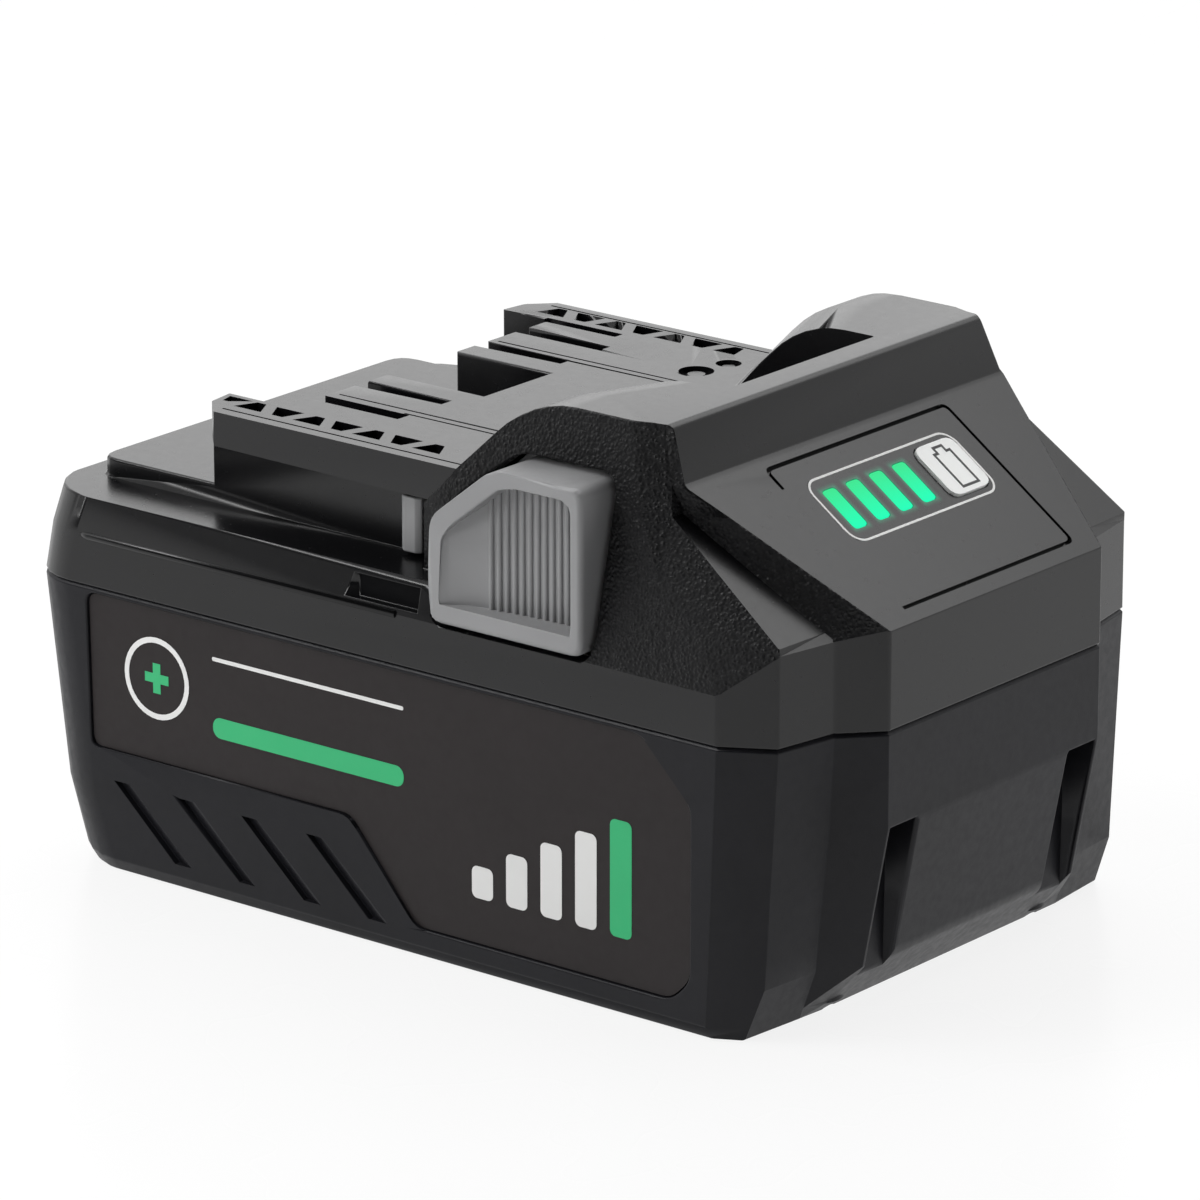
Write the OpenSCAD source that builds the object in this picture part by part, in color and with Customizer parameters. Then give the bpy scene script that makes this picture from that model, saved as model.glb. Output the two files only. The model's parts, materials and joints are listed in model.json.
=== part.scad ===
/* [Case] */
// Length of the case from tail to nose, which the cells share out
case_l = 120; // [112:1:130]
// Wall thickness of both case halves
wall = 2.4; // [1.9:0.1:2.6]
// Room between the cell block and the tail of the case
tail_room = 9.8; // [9.6:0.1:14]
// Room between the cell block and the nose of the case
nose_room = 13; // [12.8:0.1:17]
// Depth of the parting line below the top of the cell block
split_drop = 6.2; // [5:0.1:7]
// Radius of the upright corners at the tail
tail_r = 8; // [6:0.5:10]
// Distance from a case side to the edge of the nose
nose_inset = 16.7; // [15.5:0.1:18]
// Step from the nose back to the cheeks beside it
nose_step = 4.3; // [3:0.1:5]
// Width of the ramp between the nose and a cheek
nose_ramp = 4.6; // [3:0.1:6]
// Width of the upright slots in the foot of the nose
nose_slot_w = 5.3; // [4:0.1:6]
// Height of the upright slots in the foot of the nose
nose_slot_h = 24; // [20:0.5:27]

/* [Upper case] */
// Height of the ledge beside the rails above the cell block
ledge_rise = 4.8; // [4.6:0.1:6]
// Height of the tail platform above the ledge
platform_h = 2.4; // [2:0.1:3]
// Height of the deck and the rail lips above the ledge
rail_h = 12.7; // [12.3:0.1:14]
// Height of the hood above the deck
hood_h = 10.5; // [9.5:0.1:12]
// Length of the hood from its back to the nose
hood_l = 59.2; // [58:0.1:62]
// Distance from a case side to the wall of its rail groove
rail_inset = 9; // [8.5:0.1:9.5]
// Overhang of a rail lip beyond its groove wall
lip_w = 3.2; // [2.5:0.1:4]
// Thickness of a rail lip
lip_h = 4.5; // [3.5:0.1:5]
// Length of a rail behind the hood
rail_l = 37.4; // [36:0.1:40]
// Length of the deck behind the hood
deck_l = 27.8; // [27:0.1:30]
// Length of a terminal slot in the deck
slot_l = 13.3; // [12.5:0.1:14]
// Width of a terminal slot in the deck
slot_w = 2; // [1.6:0.1:2.4]
// Distance between a pair of terminal slots
slot_pitch = 7.9; // [7:0.1:8.5]
// Distance from the hood recess to a rail groove
recess_inset = 14; // [13.5:0.5:16]

/* [Gauge] */
// Height of the lower edge of the gauge slope above the ledge
gauge_rise = 1.2; // [0.5:0.1:2]
// Height of the upper edge of the gauge slope above the deck
gauge_top_rise = 3.9; // [3:0.1:5]
// Angle of the gauge slope to the floor
gauge_angle = 35; // [33:0.5:37]
// Width of the gauge window
window_w = 27.8; // [27.4:0.1:28.4]
// Height of the gauge window along the slope
window_h = 9.9; // [9.6:0.1:10.2]
// Width of a light bar
bar_w = 2.4; // [2:0.1:2.8]
// Length of a light bar
bar_l = 6.1; // [5:0.1:6.5]
// Distance between light bars
bar_pitch = 4.45; // [4.2:0.05:4.5]
// Width of the gauge key
key_w = 7.4; // [7:0.1:7.5]
// Length of the gauge key along the slope
key_l = 7.8; // [7:0.1:8]
// Travel of the gauge key
key_travel = 0.4; // [0.2:0.05:0.5]

/* [Latch] */
// Travel of a latch button
latch_travel = 3; // [2:0.1:3.2]
// Height of a latch button face above the case side
button_proud = 1; // [0.5:0.1:2]
// Running gap round a latch button
button_gap = 0.7; // [0.4:0.1:0.9]
// Reach of a pawl beyond the groove wall
pawl_reach = 2; // [1.4:0.1:2.4]
// Wire diameter of a latch spring
spring_wire = 0.9; // [0.6:0.1:1.1]
// Number of turns of a latch spring
spring_turns = 8; // [6:1:10]

/* [Cells] */
// Length of a cell
cell_l = 65; // [60:0.5:75]
// Space between neighbouring cells
cell_space = 0.9; // [0.7:0.05:1.2]
// Clearance round a cell in its holder
cell_gap = 0.15; // [0.1:0.05:0.2]
// Thickness of the nickel strips
strip_t = 0.3; // [0.2:0.05:0.35]
// Thickness of the insulating sheets
sheet_t = 0.4; // [0.2:0.05:0.6]
// Thickness of the foam pads beside the cell block
foam_t = 1.1; // [0.8:0.1:2]

/* [Boards and fasteners] */
// Thickness of the circuit boards
board_t = 1.6; // [1:0.1:1.6]
// Shank radius of a case screw
screw_r = 1.3; // [1:0.05:1.35]
// Head radius of a case screw
screw_head_r = 2.3; // [2:0.1:2.4]
// Clearance round a fixed piece in its seat
seat_gap = 0.1; // [0.05:0.05:0.2]

/* [Hidden] */
$fn = 48;
arc_steps = 6;
over = 1;
CELLS = 10;
BARS = 4;
case_grey = [0.10, 0.10, 0.11];
latch_grey = [0.52, 0.52, 0.52];
board_green = [0.08, 0.32, 0.16];
metal_grey = [0.75, 0.74, 0.70];
steel_grey = [0.45, 0.46, 0.48];

// Cell block, which sets the size of the case
rows = 2;
columns = CELLS / rows;
bore_skin = 0.9;
cell_d = (case_l - tail_room - nose_room - 2 * (cell_gap + bore_skin) - (columns - 1) * cell_space) / columns;
cell_r = cell_d / 2;
cell_pitch = cell_d + cell_space;
bore_r = cell_r + cell_gap;
row_z = wall + bore_skin + bore_r;
holder_top = row_z + cell_pitch + bore_r + bore_skin;
holder_depth = 6.5;
ring_t = 0.8;
cell_end = cell_l / 2;
strip_y = cell_end + ring_t;
sheet_y = strip_y + strip_t;
foam_y = sheet_y + sheet_t;
nub_h = 0.6;
nub_r = 2.6;
tray_gap = 1;

// Ends, sides and heights of the case
case_w = 2 * (foam_y + foam_t + wall);
nose_x = case_l / 2;
tail_x = -case_l / 2;
side_y = case_w / 2;
pack_mid_x = (tail_room - nose_room) / 2;
split_z = holder_top - split_drop;
ledge_z = holder_top + ledge_rise;
platform_z = ledge_z + platform_h;
deck_z = ledge_z + rail_h;
case_h = deck_z + hood_h;
gauge_z = ledge_z + gauge_rise;
gauge_top_z = deck_z + gauge_top_rise;
shoulder_z = ledge_z - 4.6;

// Nose, cheeks and hood
nose_half = side_y - nose_inset;
cheek_x = nose_x - nose_step;
cheek_y = nose_half + nose_ramp;
cheek_z = gauge_z - 0.9;
cheek_top_z = gauge_top_z - 3.4;
gauge_run = (gauge_top_z - gauge_z) / tan(gauge_angle);
band_x = nose_x - gauge_run - 2.7;
foot_z = 6.5;
foot_mid_z = 10;
bevel_z = 1.6;
parting = 0.3;
hood_mid_z = (gauge_z + cheek_top_z) / 2;
cheek_top_x = cheek_x - (cheek_top_z - cheek_z) / tan(gauge_angle);
hood_x = nose_x - hood_l;
hood_half = side_y - 6.3;
hood_back_z = deck_z - 4.7;
hood_crown_x = hood_x + 21.5;
hood_crown_z = deck_z + 5.6;

// Rails, deck and recess
rail_wall_y = side_y - rail_inset;
rail_y0 = rail_wall_y - 3.8;
rail_end_x = hood_x + 11.5;
rail_tip_x = hood_x - rail_l;
deck_tip_x = hood_x - deck_l;
deck_end_x = deck_tip_x + slot_l;
bay_end_x = deck_end_x + 1.5;
slot_outer_y = rail_y0 - 5.5;
slot_inner_y = slot_outer_y - slot_pitch;
bay_half = slot_inner_y - 5;
platform_x = tail_x + 5.2;
recess_half = rail_wall_y - recess_inset;
recess_x = nose_x - 29;
recess_z = deck_z + 0.5;

// Boards
board_z = holder_top + 0.6;
board_top = board_z + board_t;
board_half = rail_wall_y - 4.3;
board_x0 = tail_x + 12;
board_x1 = nose_x - 18;

// Case screws
screw_tail_x = tail_x + 8;
screw_nose_x = nose_x - 11.2;
screw_tail_y = side_y - 16.5;
screw_nose_y = nose_half - 0.8;
pillar_r = screw_r + 1.2;
screw_hole_r = screw_r + 0.2;
screw_head_h = 1.8;
screw_sink = 2.2;
screw_l = split_z + 8 - screw_sink;
boss_top = platform_z - wall + 0.5;

// Latches
button_y = side_y + button_proud;
flange_y = rail_wall_y + 1.1;
flange_t = 1.6;
arm_y = rail_wall_y - wall - 0.2;
arm_t = 2.5;
pawl_x = hood_x - 5.8;
pawl_w = 3.1;
pawl_z = ledge_z + 0.5;
pawl_h = 6.9;
arm_z = pawl_z + 0.4;
arm_h = 6;
pawl_gap = 0.3;
seat_y = recess_half + wall;
cup_y = button_y - 5.3;
spring_x = hood_x + 16.7;
spring_z = deck_z - 6.5;
spring_r = 3.2;

// Gauge stack along the slope's normal, measured from the slope
gauge_mid = -17;
window_lip_t = 1;
board_w = -8;
led_t = 0.8;
switch_t = 1.6;
key_proud = 0.35;
key_y = window_w / 2 - 0.65 - key_w / 2;
bar_y0 = -11.1;
window_r = 2;
key_r = 1.5;
bar_r = 0.6;

// Outline of the case at one height
function tail_at(z) = tail_x + lookup(z, [[0, 5.5], [foot_mid_z, 2.5], [split_z, 0], [ledge_z, 1.8]]);
function tail_r_at(z) = lookup(z, [[0, tail_r + 2], [split_z, tail_r], [ledge_z, tail_r + 1]]);
function side_at(z) = lookup(z, [[0, side_y - 0.8], [bevel_z, side_y], [shoulder_z, side_y],
    [case_h, hood_half]]);
function nose_at(z) = lookup(z, [[0, nose_x - 9], [foot_z, nose_x - 3.4], [nose_slot_h, nose_x],
    [gauge_z, nose_x], [gauge_top_z, nose_x - gauge_run], [case_h, band_x]]);
function nose_y_at(z) = lookup(z, [[gauge_z, nose_half], [gauge_top_z, hood_half - 0.5],
    [case_h, hood_half - 1.7]]);
function cheek_at(z) = lookup(z, [[0, nose_x - 9], [foot_z, cheek_x - 2.4], [nose_slot_h, cheek_x - 0.7],
    [split_z, cheek_x], [cheek_z, cheek_x], [cheek_top_z, cheek_top_x],
    [case_h, band_x - 0.9]]);
function cheek_y_at(z) = lookup(z, [[cheek_z, cheek_y], [cheek_top_z, hood_half - 1],
    [gauge_top_z, hood_half - 0.2], [case_h, hood_half - 1.2]]);
function corner_at(z) = lookup(z, [[0, cheek_x - 5.5], [foot_z, cheek_x - 3.1], [split_z, cheek_x - 1.6],
    [gauge_z, cheek_x - 1.6], [cheek_top_z, cheek_top_x],
    [case_h, band_x - 2.3]]);
function corner_y_at(z) = lookup(z, [[0, side_y - 2.8], [foot_z, side_y - 3.3], [split_z, side_y - 3.6],
    [gauge_z, side_y - 3.6], [cheek_top_z, hood_half + 0.9], [case_h, hood_half - 1]]);
function flank_at(z) = lookup(z, [[0, cheek_x - 9.2], [split_z, cheek_x - 7.7], [shoulder_z, cheek_x - 7.7],
    [gauge_z, cheek_x - 11.2], [hood_mid_z, cheek_x - 18.4], [cheek_top_z, cheek_x - 21.8],
    [case_h, band_x - 5]]);

function mirrored(half) = [for (i = [len(half) - 1 : -1 : 0]) [half[i][0], -half[i][1]]];
function tail_arc(x, y, r) = [for (i = [0 : arc_steps]) let (a = 180 + 90 * i / arc_steps)
    [x + r + r * cos(a), -y + r + r * sin(a)]];
function outline(z, inset) = let (
    half = concat(
        tail_arc(tail_at(z) + inset, side_at(z) - inset, max(tail_r_at(z) - inset, 1)),
        [[flank_at(z) - 0.3 * inset, inset - side_at(z)],
         [corner_at(z) - inset, 0.55 * inset - corner_y_at(z)],
         [cheek_at(z) - inset, 0.45 * inset - cheek_y_at(z)],
         [nose_at(z) - inset, 0.4 * inset - nose_y_at(z)]]))
    concat(half, mirrored(half));

// Polygon with each corner rounded over the same length
function bend(a, b, c, t) = (1 - t) * (1 - t) * a + 2 * t * (1 - t) * b + t * t * c;
function toward(a, b) = (b - a) / norm(b - a);
function rounded(pts, r) = [for (i = [0 : len(pts) - 1], k = [0 : 4]) let (
    b = pts[i],
    a = b + r * toward(b, pts[(i + len(pts) - 1) % len(pts)]),
    c = b + r * toward(b, pts[(i + 1) % len(pts)]))
    bend(a, b, c, k / 4)];

// Solid through a stack of outlines, each a height and a list of points
module loft(layers) {
    n = len(layers[0][1]);
    points = [for (layer = layers, p = layer[1]) [p[0], p[1], layer[0]]];
    sides = [for (k = [0 : len(layers) - 2], i = [0 : n - 1], half = [0, 1]) let (
        j = (i + 1) % n, a = k * n + i, b = k * n + j, c = a + n, d = b + n)
        i < n / 2 ? (half == 0 ? [a, c, d] : [a, d, b]) : (half == 0 ? [a, c, b] : [c, d, b])];
    floor_face = [for (i = [0 : n - 1]) i];
    roof_face = [for (i = [n - 1 : -1 : 0]) (len(layers) - 1) * n + i];
    polyhedron(points, concat([floor_face, roof_face], sides), convexity = 6);
}

// Slab between two depths across the pack, drawn on the side of the case
module side_slab(pts, y0, y1) {
    translate([0, y1, 0]) rotate([90, 0, 0]) linear_extrude(y1 - y0) polygon(pts);
}

module block(low, high) {
    translate(low) cube(high - low);
}

module both_sides() {
    children();
    mirror([0, 1, 0]) children();
}

// Frame on the gauge slope: x down the slope, z out of it
module on_gauge() {
    translate([nose_x, 0, gauge_z]) rotate([0, gauge_angle, 0]) children();
}

// Lower case
lower_layers = [0, bevel_z, foot_z, foot_mid_z, nose_slot_h, split_z - parting];
label_x0 = tail_x + 11;
label_x1 = nose_x - 15.8;
label_low = 3.7;
label_mid = 15.5;
label_high = split_z - 0.6;
label_step_x = tail_x + 63;
label_pts = [[label_x0, label_high], [label_x1 - 7.3, label_high], [label_x1, label_high - 7.2],
    [label_x1, label_low + 2.8], [label_x1 - 2.8, label_low], [label_step_x, label_low],
    [label_step_x - 10.4, label_mid], [label_x0 + 0.4, label_mid]];
label_sink = 0.7;
label_t = 0.3;
louvre_top = 11.8;
louvre_foot = 3.2;
louvre_slant = 9.9;
louvre_w = 2.6;
louvre_depth = 0.9;
louvre_pitch = 10.3;
louvre_x0 = tail_x + 15;
nose_slot_y = nose_half - nose_slot_w - 0.5;
nose_slot_floor = nose_x - 4.7;

// Shallow slanted step, deepest along its left edge
module louvre(x) {
    y = -side_y;
    low = [[x + louvre_slant, y - over, louvre_foot], [x + louvre_slant + louvre_w, y - over, louvre_foot],
        [x + louvre_slant + louvre_w, y, louvre_foot], [x + louvre_slant, y + louvre_depth, louvre_foot]];
    high = [for (p = low) [p[0] - louvre_slant, p[1], louvre_top]];
    polyhedron(concat(low, high),
        [[0, 1, 2, 3], [7, 6, 5, 4], [0, 4, 5, 1], [1, 5, 6, 2], [2, 6, 7, 3], [3, 7, 4, 0]]);
}

module nose_slot_wall() {
    block([nose_slot_floor - wall, nose_slot_y - wall, 0],
          [nose_x + over, nose_slot_y + nose_slot_w + wall, nose_slot_h + wall]);
}

module lower_cavity() {
    difference() {
        loft(concat([for (z = [wall, foot_z, foot_mid_z, nose_slot_h, split_z]) [z, outline(z, wall)]],
            [[split_z + over, outline(split_z, wall)]]));
        both_sides() nose_slot_wall();
    }
}

module at_case_screws() {
    both_sides() {
        translate([screw_tail_x, screw_tail_y, 0]) children();
        translate([screw_nose_x, screw_nose_y, 0]) children();
    }
}

module lower_case() {
    color(case_grey) difference() {
        union() {
            difference() {
                loft(concat([for (z = lower_layers) [z, outline(z, 0)]],
                    [[split_z, outline(split_z, parting)]]));
                lower_cavity();
            }
            at_case_screws() {
                translate([0, 0, wall / 2]) cylinder(r = pillar_r, h = split_z - wall / 2);
                translate([0, 0, wall / 2]) cylinder(r = screw_head_r + 1.4, h = screw_sink + 0.8);
            }
        }
        at_case_screws() {
            translate([0, 0, -over]) cylinder(r = screw_hole_r, h = split_z + 2 * over);
            translate([0, 0, -over]) cylinder(r = screw_head_r + 0.2, h = screw_sink + over);
        }
        both_sides() {
            side_slab(rounded(label_pts, 1.5), -side_y - over, -side_y + label_sink);
            for (i = [0 : 3]) louvre(louvre_x0 + i * louvre_pitch);
            block([nose_slot_floor, nose_slot_y, -over],
                  [nose_x + over, nose_slot_y + nose_slot_w, nose_slot_h]);
        }
    }
}

// Upper case
upper_layers = [split_z, shoulder_z, cheek_z, gauge_z, hood_mid_z, cheek_top_z, gauge_top_z, case_h];
slope_lift = 0.52 * wall;
function lift_at(z) = lookup(z, [[split_z, 0], [shoulder_z, slope_lift]]);
button_x0 = hood_x + 5.1;
button_x1 = hood_x + 28.2;
button_low = shoulder_z + 0.5;
button_high = deck_z + 3.5;
button_top_x = button_x0 + 9.8;
button_pts = [[button_x0, button_low], [button_x1, button_low], [button_x1, button_high],
    [button_top_x, button_high], [button_x0 + 0.5, deck_z - 3.9]];
button_mid = [(button_x0 + button_x1) / 2, (button_low + button_high) / 2];
flange_over = 1.3;
flange_pts = [[button_x0 - flange_over, button_low], [button_x1 + flange_over, button_low],
    [button_x1 + flange_over, button_high + flange_over], [button_top_x, button_high + flange_over],
    button_pts[4]];
truss_pitch = 9.3;
truss_x0 = hood_x - 38.4;
truss_depth = 3;
truss_y0 = rail_wall_y - 3;
truss_y1 = rail_wall_y - 0.1;
right_rail_y = 1.2;
right_rail_x = 1.8;
edge_line_y = 1.5;

// Back of the hood: upright foot, slope and rounded crown
function hood_back(dx, dz) = let (
    foot = [hood_x + dx, hood_back_z + dz],
    knee = [hood_x + dx + hood_crown_z - hood_back_z, hood_crown_z + dz],
    crown = [hood_crown_x + dx, case_h + dz],
    corner = [knee[0] + case_h - hood_crown_z, case_h + dz])
    concat([foot], [for (k = [0 : 6]) bend(knee, corner, crown, k / 6)]);

// Room behind the hood: the hood's back stands further forward beside the recess than at the sides
hood_sweep = 4.2;
sweep_end_y = rail_y0 - 0.2;
module behind_hood(dx, dz) {
    side = concat([[tail_x - over, case_h + over], [tail_x - over, hood_back_z + dz]], hood_back(dx, dz),
        [[hood_crown_x + dx, case_h + over]]);
    middle = [for (p = side) [p[0] + hood_sweep, p[1]]];
    side_slab(side, -side_y - over, side_y + over);
    side_slab(middle, -recess_half, recess_half);
    both_sides() rotate([90, 0, 0]) loft([[recess_half, middle], [sweep_end_y, side]]);
}

// Flank of the hood cut back between its upright foot and the latch button
flank_y = side_y - 4.5;
module flank_cut(inset, dx) {
    block([hood_x - over, flank_y - inset, ledge_z - inset],
          [button_x0 - 0.1 + dx, side_y + over, deck_z + 0.5]);
}

module body_shell() {
    difference() {
        loft(concat([[split_z, outline(split_z, parting)],
            [split_z + parting, outline(split_z + parting, 0)]],
            [for (z = upper_layers) if (z > split_z) [z, outline(z, 0)]]));
        block([tail_x - over, -side_y - over, ledge_z], [hood_x, side_y + over, case_h + over]);
        behind_hood(0, 0);
        both_sides() {
            shoulder_pocket();
            flank_cut(0, 0);
        }
    }
}

// Shallow pocket in the shoulder beside the latch button
module shoulder_pocket() {
    wall_y = side_y - 1.3;
    pocket_end = button_x0 - flange_over - 1.2 - hood_x;
    translate([hood_x, 0, shoulder_z + 0.7]) linear_extrude(ledge_z - shoulder_z - 1.7)
        polygon([[-8.8, side_y], [-6.8, wall_y], [pocket_end, wall_y], [pocket_end, side_y + over],
            [-8.8, side_y + over]]);
}

// Rail of the left side, or of the right side with its tip set back
module rail(left) {
    tip_x = rail_tip_x + (left ? 0 : right_rail_x);
    edge = rail_wall_y + lip_w;
    tip = [[rail_end_x, rail_y0], [tip_x, rail_y0], [tip_x + 0.5, rail_wall_y],
        [tip_x + 3.6, edge], [rail_end_x, edge]];
    difference() {
        translate([0, 0, ledge_z - over]) linear_extrude(deck_z - ledge_z + over) polygon(tip);
        block([rail_tip_x - over, rail_wall_y, ledge_z - 2 * over], [hood_x + over, side_y, deck_z - lip_h]);
        block([tip_x + 3.6, edge - edge_line_y - line_w, deck_z - mark_depth],
              [rail_end_x + over, edge - edge_line_y, deck_z + over]);
    }
}

// Pockets in the top of a rail: blunt triangles, pointing in and out by turns
module truss_pockets(left) {
    inner = left ? truss_y0 : truss_y1 + right_rail_y;
    outer = left ? truss_y1 : truss_y0 + right_rail_y;
    shift = left ? 0 : right_rail_x;
    end = hood_x - shift - 0.4;
    translate([shift, 0, deck_z - truss_depth]) linear_extrude(truss_depth + over)
        for (i = [0 : 3]) {
            x = truss_x0 + i * truss_pitch;
            polygon([[x + 6.2, inner], [x + 7.6, inner], [min(x + 9.2, end), outer], [x + 4.9, outer]]);
            if (i > 0) polygon([[x, inner], [x + 4.3, inner], [x + 3.3, outer], [x + 1.65, outer]]);
            if (i == 0 && left) polygon([[x + 1.8, inner], [x + 5.5, inner], [x + 3.1, outer - 1],
                [x + 2.3, outer - 1]]);
        }
}

module deck() {
    block([deck_tip_x, -rail_y0 - over, ledge_z], [rail_end_x, rail_y0 + over, deck_z]);
}

module platform() {
    translate([0, 0, ledge_z - over]) linear_extrude(platform_z - ledge_z + over)
        polygon(rounded([[hood_x + 4, -rail_wall_y], [hood_x + 4, rail_wall_y], [platform_x, rail_wall_y],
            [platform_x, -rail_wall_y]], 3));
}

module recess() {
    translate([0, 0, recess_z]) linear_extrude(case_h)
        polygon(rounded([[tail_x, -recess_half], [recess_x, -recess_half], [recess_x, recess_half],
            [tail_x, recess_half]], 0.5));
}

module upper_outer() {
    difference() {
        body_shell();
        recess();
    }
    platform();
    deck();
    rail(false);
    mirror([0, 1, 0]) rail(true);
}

// Hollow under the hood and the ledge
module hood_cavity() {
    top = case_h - wall;
    difference() {
        loft(concat([[split_z - over, outline(split_z, wall)]],
            [for (z = upper_layers) if (z < top) [z, outline(z + lift_at(z), wall)]],
            [[top, outline(top + slope_lift, wall)]]));
        block([tail_x, -side_y, ledge_z - wall], [hood_x + wall, side_y, case_h]);
        behind_hood(wall, -wall / 2);
        both_sides() flank_cut(wall, wall);
        block([tail_x, -seat_y, recess_z - wall], [recess_x + wall, seat_y, case_h]);
    }
}

// Hollow of the deck with the walls of the middle bay left standing
module deck_cavity() {
    roof = deck_z - wall;
    difference() {
        block([deck_tip_x + 2, 1.4 - rail_y0, ledge_z - over], [hood_x + wall + over, rail_y0 - 1.4, roof]);
        block([deck_tip_x - over, -bay_half - 1.8, platform_z - wall],
              [bay_end_x + 1.8, bay_half + 1.8, case_h]);
    }
    both_sides() block([pawl_x - 3, rail_y0 - 6, ledge_z - over],
        [hood_x + wall + hood_sweep, rail_wall_y - wall, deck_z - lip_h - 0.2]);
}

module upper_cavity() {
    hood_cavity();
    deck_cavity();
    block([platform_x + wall, wall - rail_wall_y, ledge_z - wall - over],
          [hood_x + wall + over, rail_wall_y - wall, platform_z - wall]);
}

// Round well in the deck with a low hub
dial_depth = 0.7;
module deck_dial(x, y, r) {
    translate([hood_x + x, y, deck_z - dial_depth]) difference() {
        cylinder(r = r, h = dial_depth + over);
        translate([0, 0, -over]) cylinder(r = r / 2, h = dial_depth / 2 + over);
    }
}

// Two thin lines from the end of a slot to the hood, the far one along the slot as well
line_w = 0.35;
line_apart = 1.3;
module deck_line(y) {
    for (k = [0, 1])
        block([(k == 0 ? deck_end_x : deck_tip_x + 2) - over, y + k * line_apart - line_w / 2,
               deck_z - mark_depth],
              [hood_x + 4.4, y + k * line_apart + line_w / 2, deck_z + over]);
}

mark_w = 0.5;
mark_depth = 0.35;
panel_half = window_w / 2 + 3.7;
panel_high = gauge_mid - window_h / 2 - 3.55;
panel_low = -1.95;
panel_open = 1.7;

// Thin groove round the gauge panel, open on one side
module panel_line() {
    function frame_pts(d) = [[panel_high + d, d - panel_half], [panel_low - d, d - panel_half],
        [panel_low - d, panel_half - d], [panel_high + d, panel_half - d]];
    translate([0, 0, -2 * mark_depth]) linear_extrude(2 * mark_depth + over) difference() {
        polygon(rounded(frame_pts(0), 1.2));
        polygon(rounded(frame_pts(mark_w), 0.9));
        translate([panel_high + 2 * panel_open, -panel_half - over]) square([nose_x, panel_open + over]);
    }
}

module deck_openings() {
    top = case_h + over;
    deck_dial(0.4, rail_y0 - 6.5, 2.2);
    deck_dial(1.4, rail_y0 - 1.4, 1.6);
    deck_line(1.2 - slot_outer_y);
    deck_line(slot_inner_y + 0.7);
    truss_pockets(false);
    mirror([0, 1, 0]) truss_pockets(true);
    for (y = [-slot_outer_y, -slot_inner_y, slot_inner_y, slot_outer_y])
        block([deck_tip_x - over, y - slot_w / 2, platform_z + 1], [deck_end_x, y + slot_w / 2, top]);
    block([deck_tip_x - over, -bay_half, platform_z], [bay_end_x, bay_half, top]);
    block([deck_tip_x - over, rail_y0 - 0.9, deck_z - 4], [deck_end_x - 2.3, rail_y0 + 0.7, top]);
    both_sides() block([pawl_x - pawl_gap, rail_wall_y - wall - over, pawl_z - pawl_gap],
        [pawl_x + pawl_w + pawl_gap, rail_wall_y + over, pawl_z + pawl_h + pawl_gap]);
}

function grown(pts, mid, d) = [for (p = pts) p + d * [sign(p[0] - mid[0]), sign(p[1] - mid[1])]];

module gauge_openings() {
    translate([gauge_mid, 0, 0]) plate(window_w + 2 * seat_gap, window_h + 2 * seat_gap,
        -wall - 2 * over, 2 * over, window_r + seat_gap);
}

gauge_screw_y = window_w / 2 - 2;
gauge_screw_low = gauge_mid + window_h / 2 + 3.45;
gauge_screw_high = gauge_mid - window_h / 2 - 3.05;
gauge_screw_at = [[gauge_screw_low, gauge_screw_y], [gauge_screw_low, -gauge_screw_y], [gauge_screw_high, 0]];

module upper_bosses() {
    at_case_screws() translate([0, 0, split_z]) cylinder(r = pillar_r, h = boss_top - split_z);
    both_sides() {
        block([screw_nose_x, screw_nose_y - 1, split_z],
              [nose_x - wall / 2, screw_nose_y + 1, gauge_z - wall]);
        block([hood_x + 8, recess_half, platform_z - wall], [hood_crown_x + 4, seat_y, recess_z - wall / 2]);
    }
    on_gauge() for (p = gauge_screw_at) translate([p[0], p[1], board_w + board_t])
        cylinder(r = 1.7, h = -board_w - board_t - wall / 2);
}

module upper_case() {
    color(case_grey) difference() {
        union() {
            difference() {
                upper_outer();
                upper_cavity();
                deck_openings();
                on_gauge() {
                    gauge_openings();
                    panel_line();
                }
                both_sides() side_slab(rounded(grown(button_pts, button_mid, button_gap), 2.2),
                    -side_y - over, -flange_y + over);
            }
            upper_bosses();
        }
        at_case_screws() translate([0, 0, split_z - over]) cylinder(r = screw_r + 0.1, h = 8 + 2 * over);
        on_gauge() for (p = gauge_screw_at) translate([p[0], p[1], board_w])
            cylinder(r = 0.85, h = -board_w - wall / 2 - 0.3);
    }
}

// Labels in the recesses of the lower case
module label_plate() {
    floor_y = -side_y + label_sink;
    label_centre = [label_step_x - 5, label_mid + 4];
    side_slab(rounded(grown(label_pts, label_centre, -0.15), 1.4), floor_y - label_t, floor_y);
}
module left_label() {
    color([0.15, 0.13, 0.12]) label_plate();
}
module right_label() {
    color([0.15, 0.13, 0.12]) mirror([0, 1, 0]) label_plate();
}

// Latches: button, flange, arm and pawl in one moulding
scoop_pts = grown(button_pts, button_mid, -1.7);
scoop_low = shoulder_z + 3;
scoop_deep = 3.4;
rib_count = 13;
rib_pitch = 1.06;
rib_x0 = button_x0 + 7.9;
scoop_curve = [[scoop_pts[0][0], -button_y], [button_x0 + 6.1, scoop_deep - button_y],
    [scoop_pts[1][0], scoop_deep - button_y]];
function scoop_floor(t) = bend(scoop_curve[0], scoop_curve[1], scoop_curve[2], t);
function scoop_share(x) = let (
    b = 2 * (scoop_curve[1][0] - scoop_curve[0][0]),
    c = scoop_curve[0][0] - 2 * scoop_curve[1][0] + scoop_curve[2][0])
    (sqrt(b * b + 4 * c * (x - scoop_curve[0][0])) - b) / (2 * c);

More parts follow.
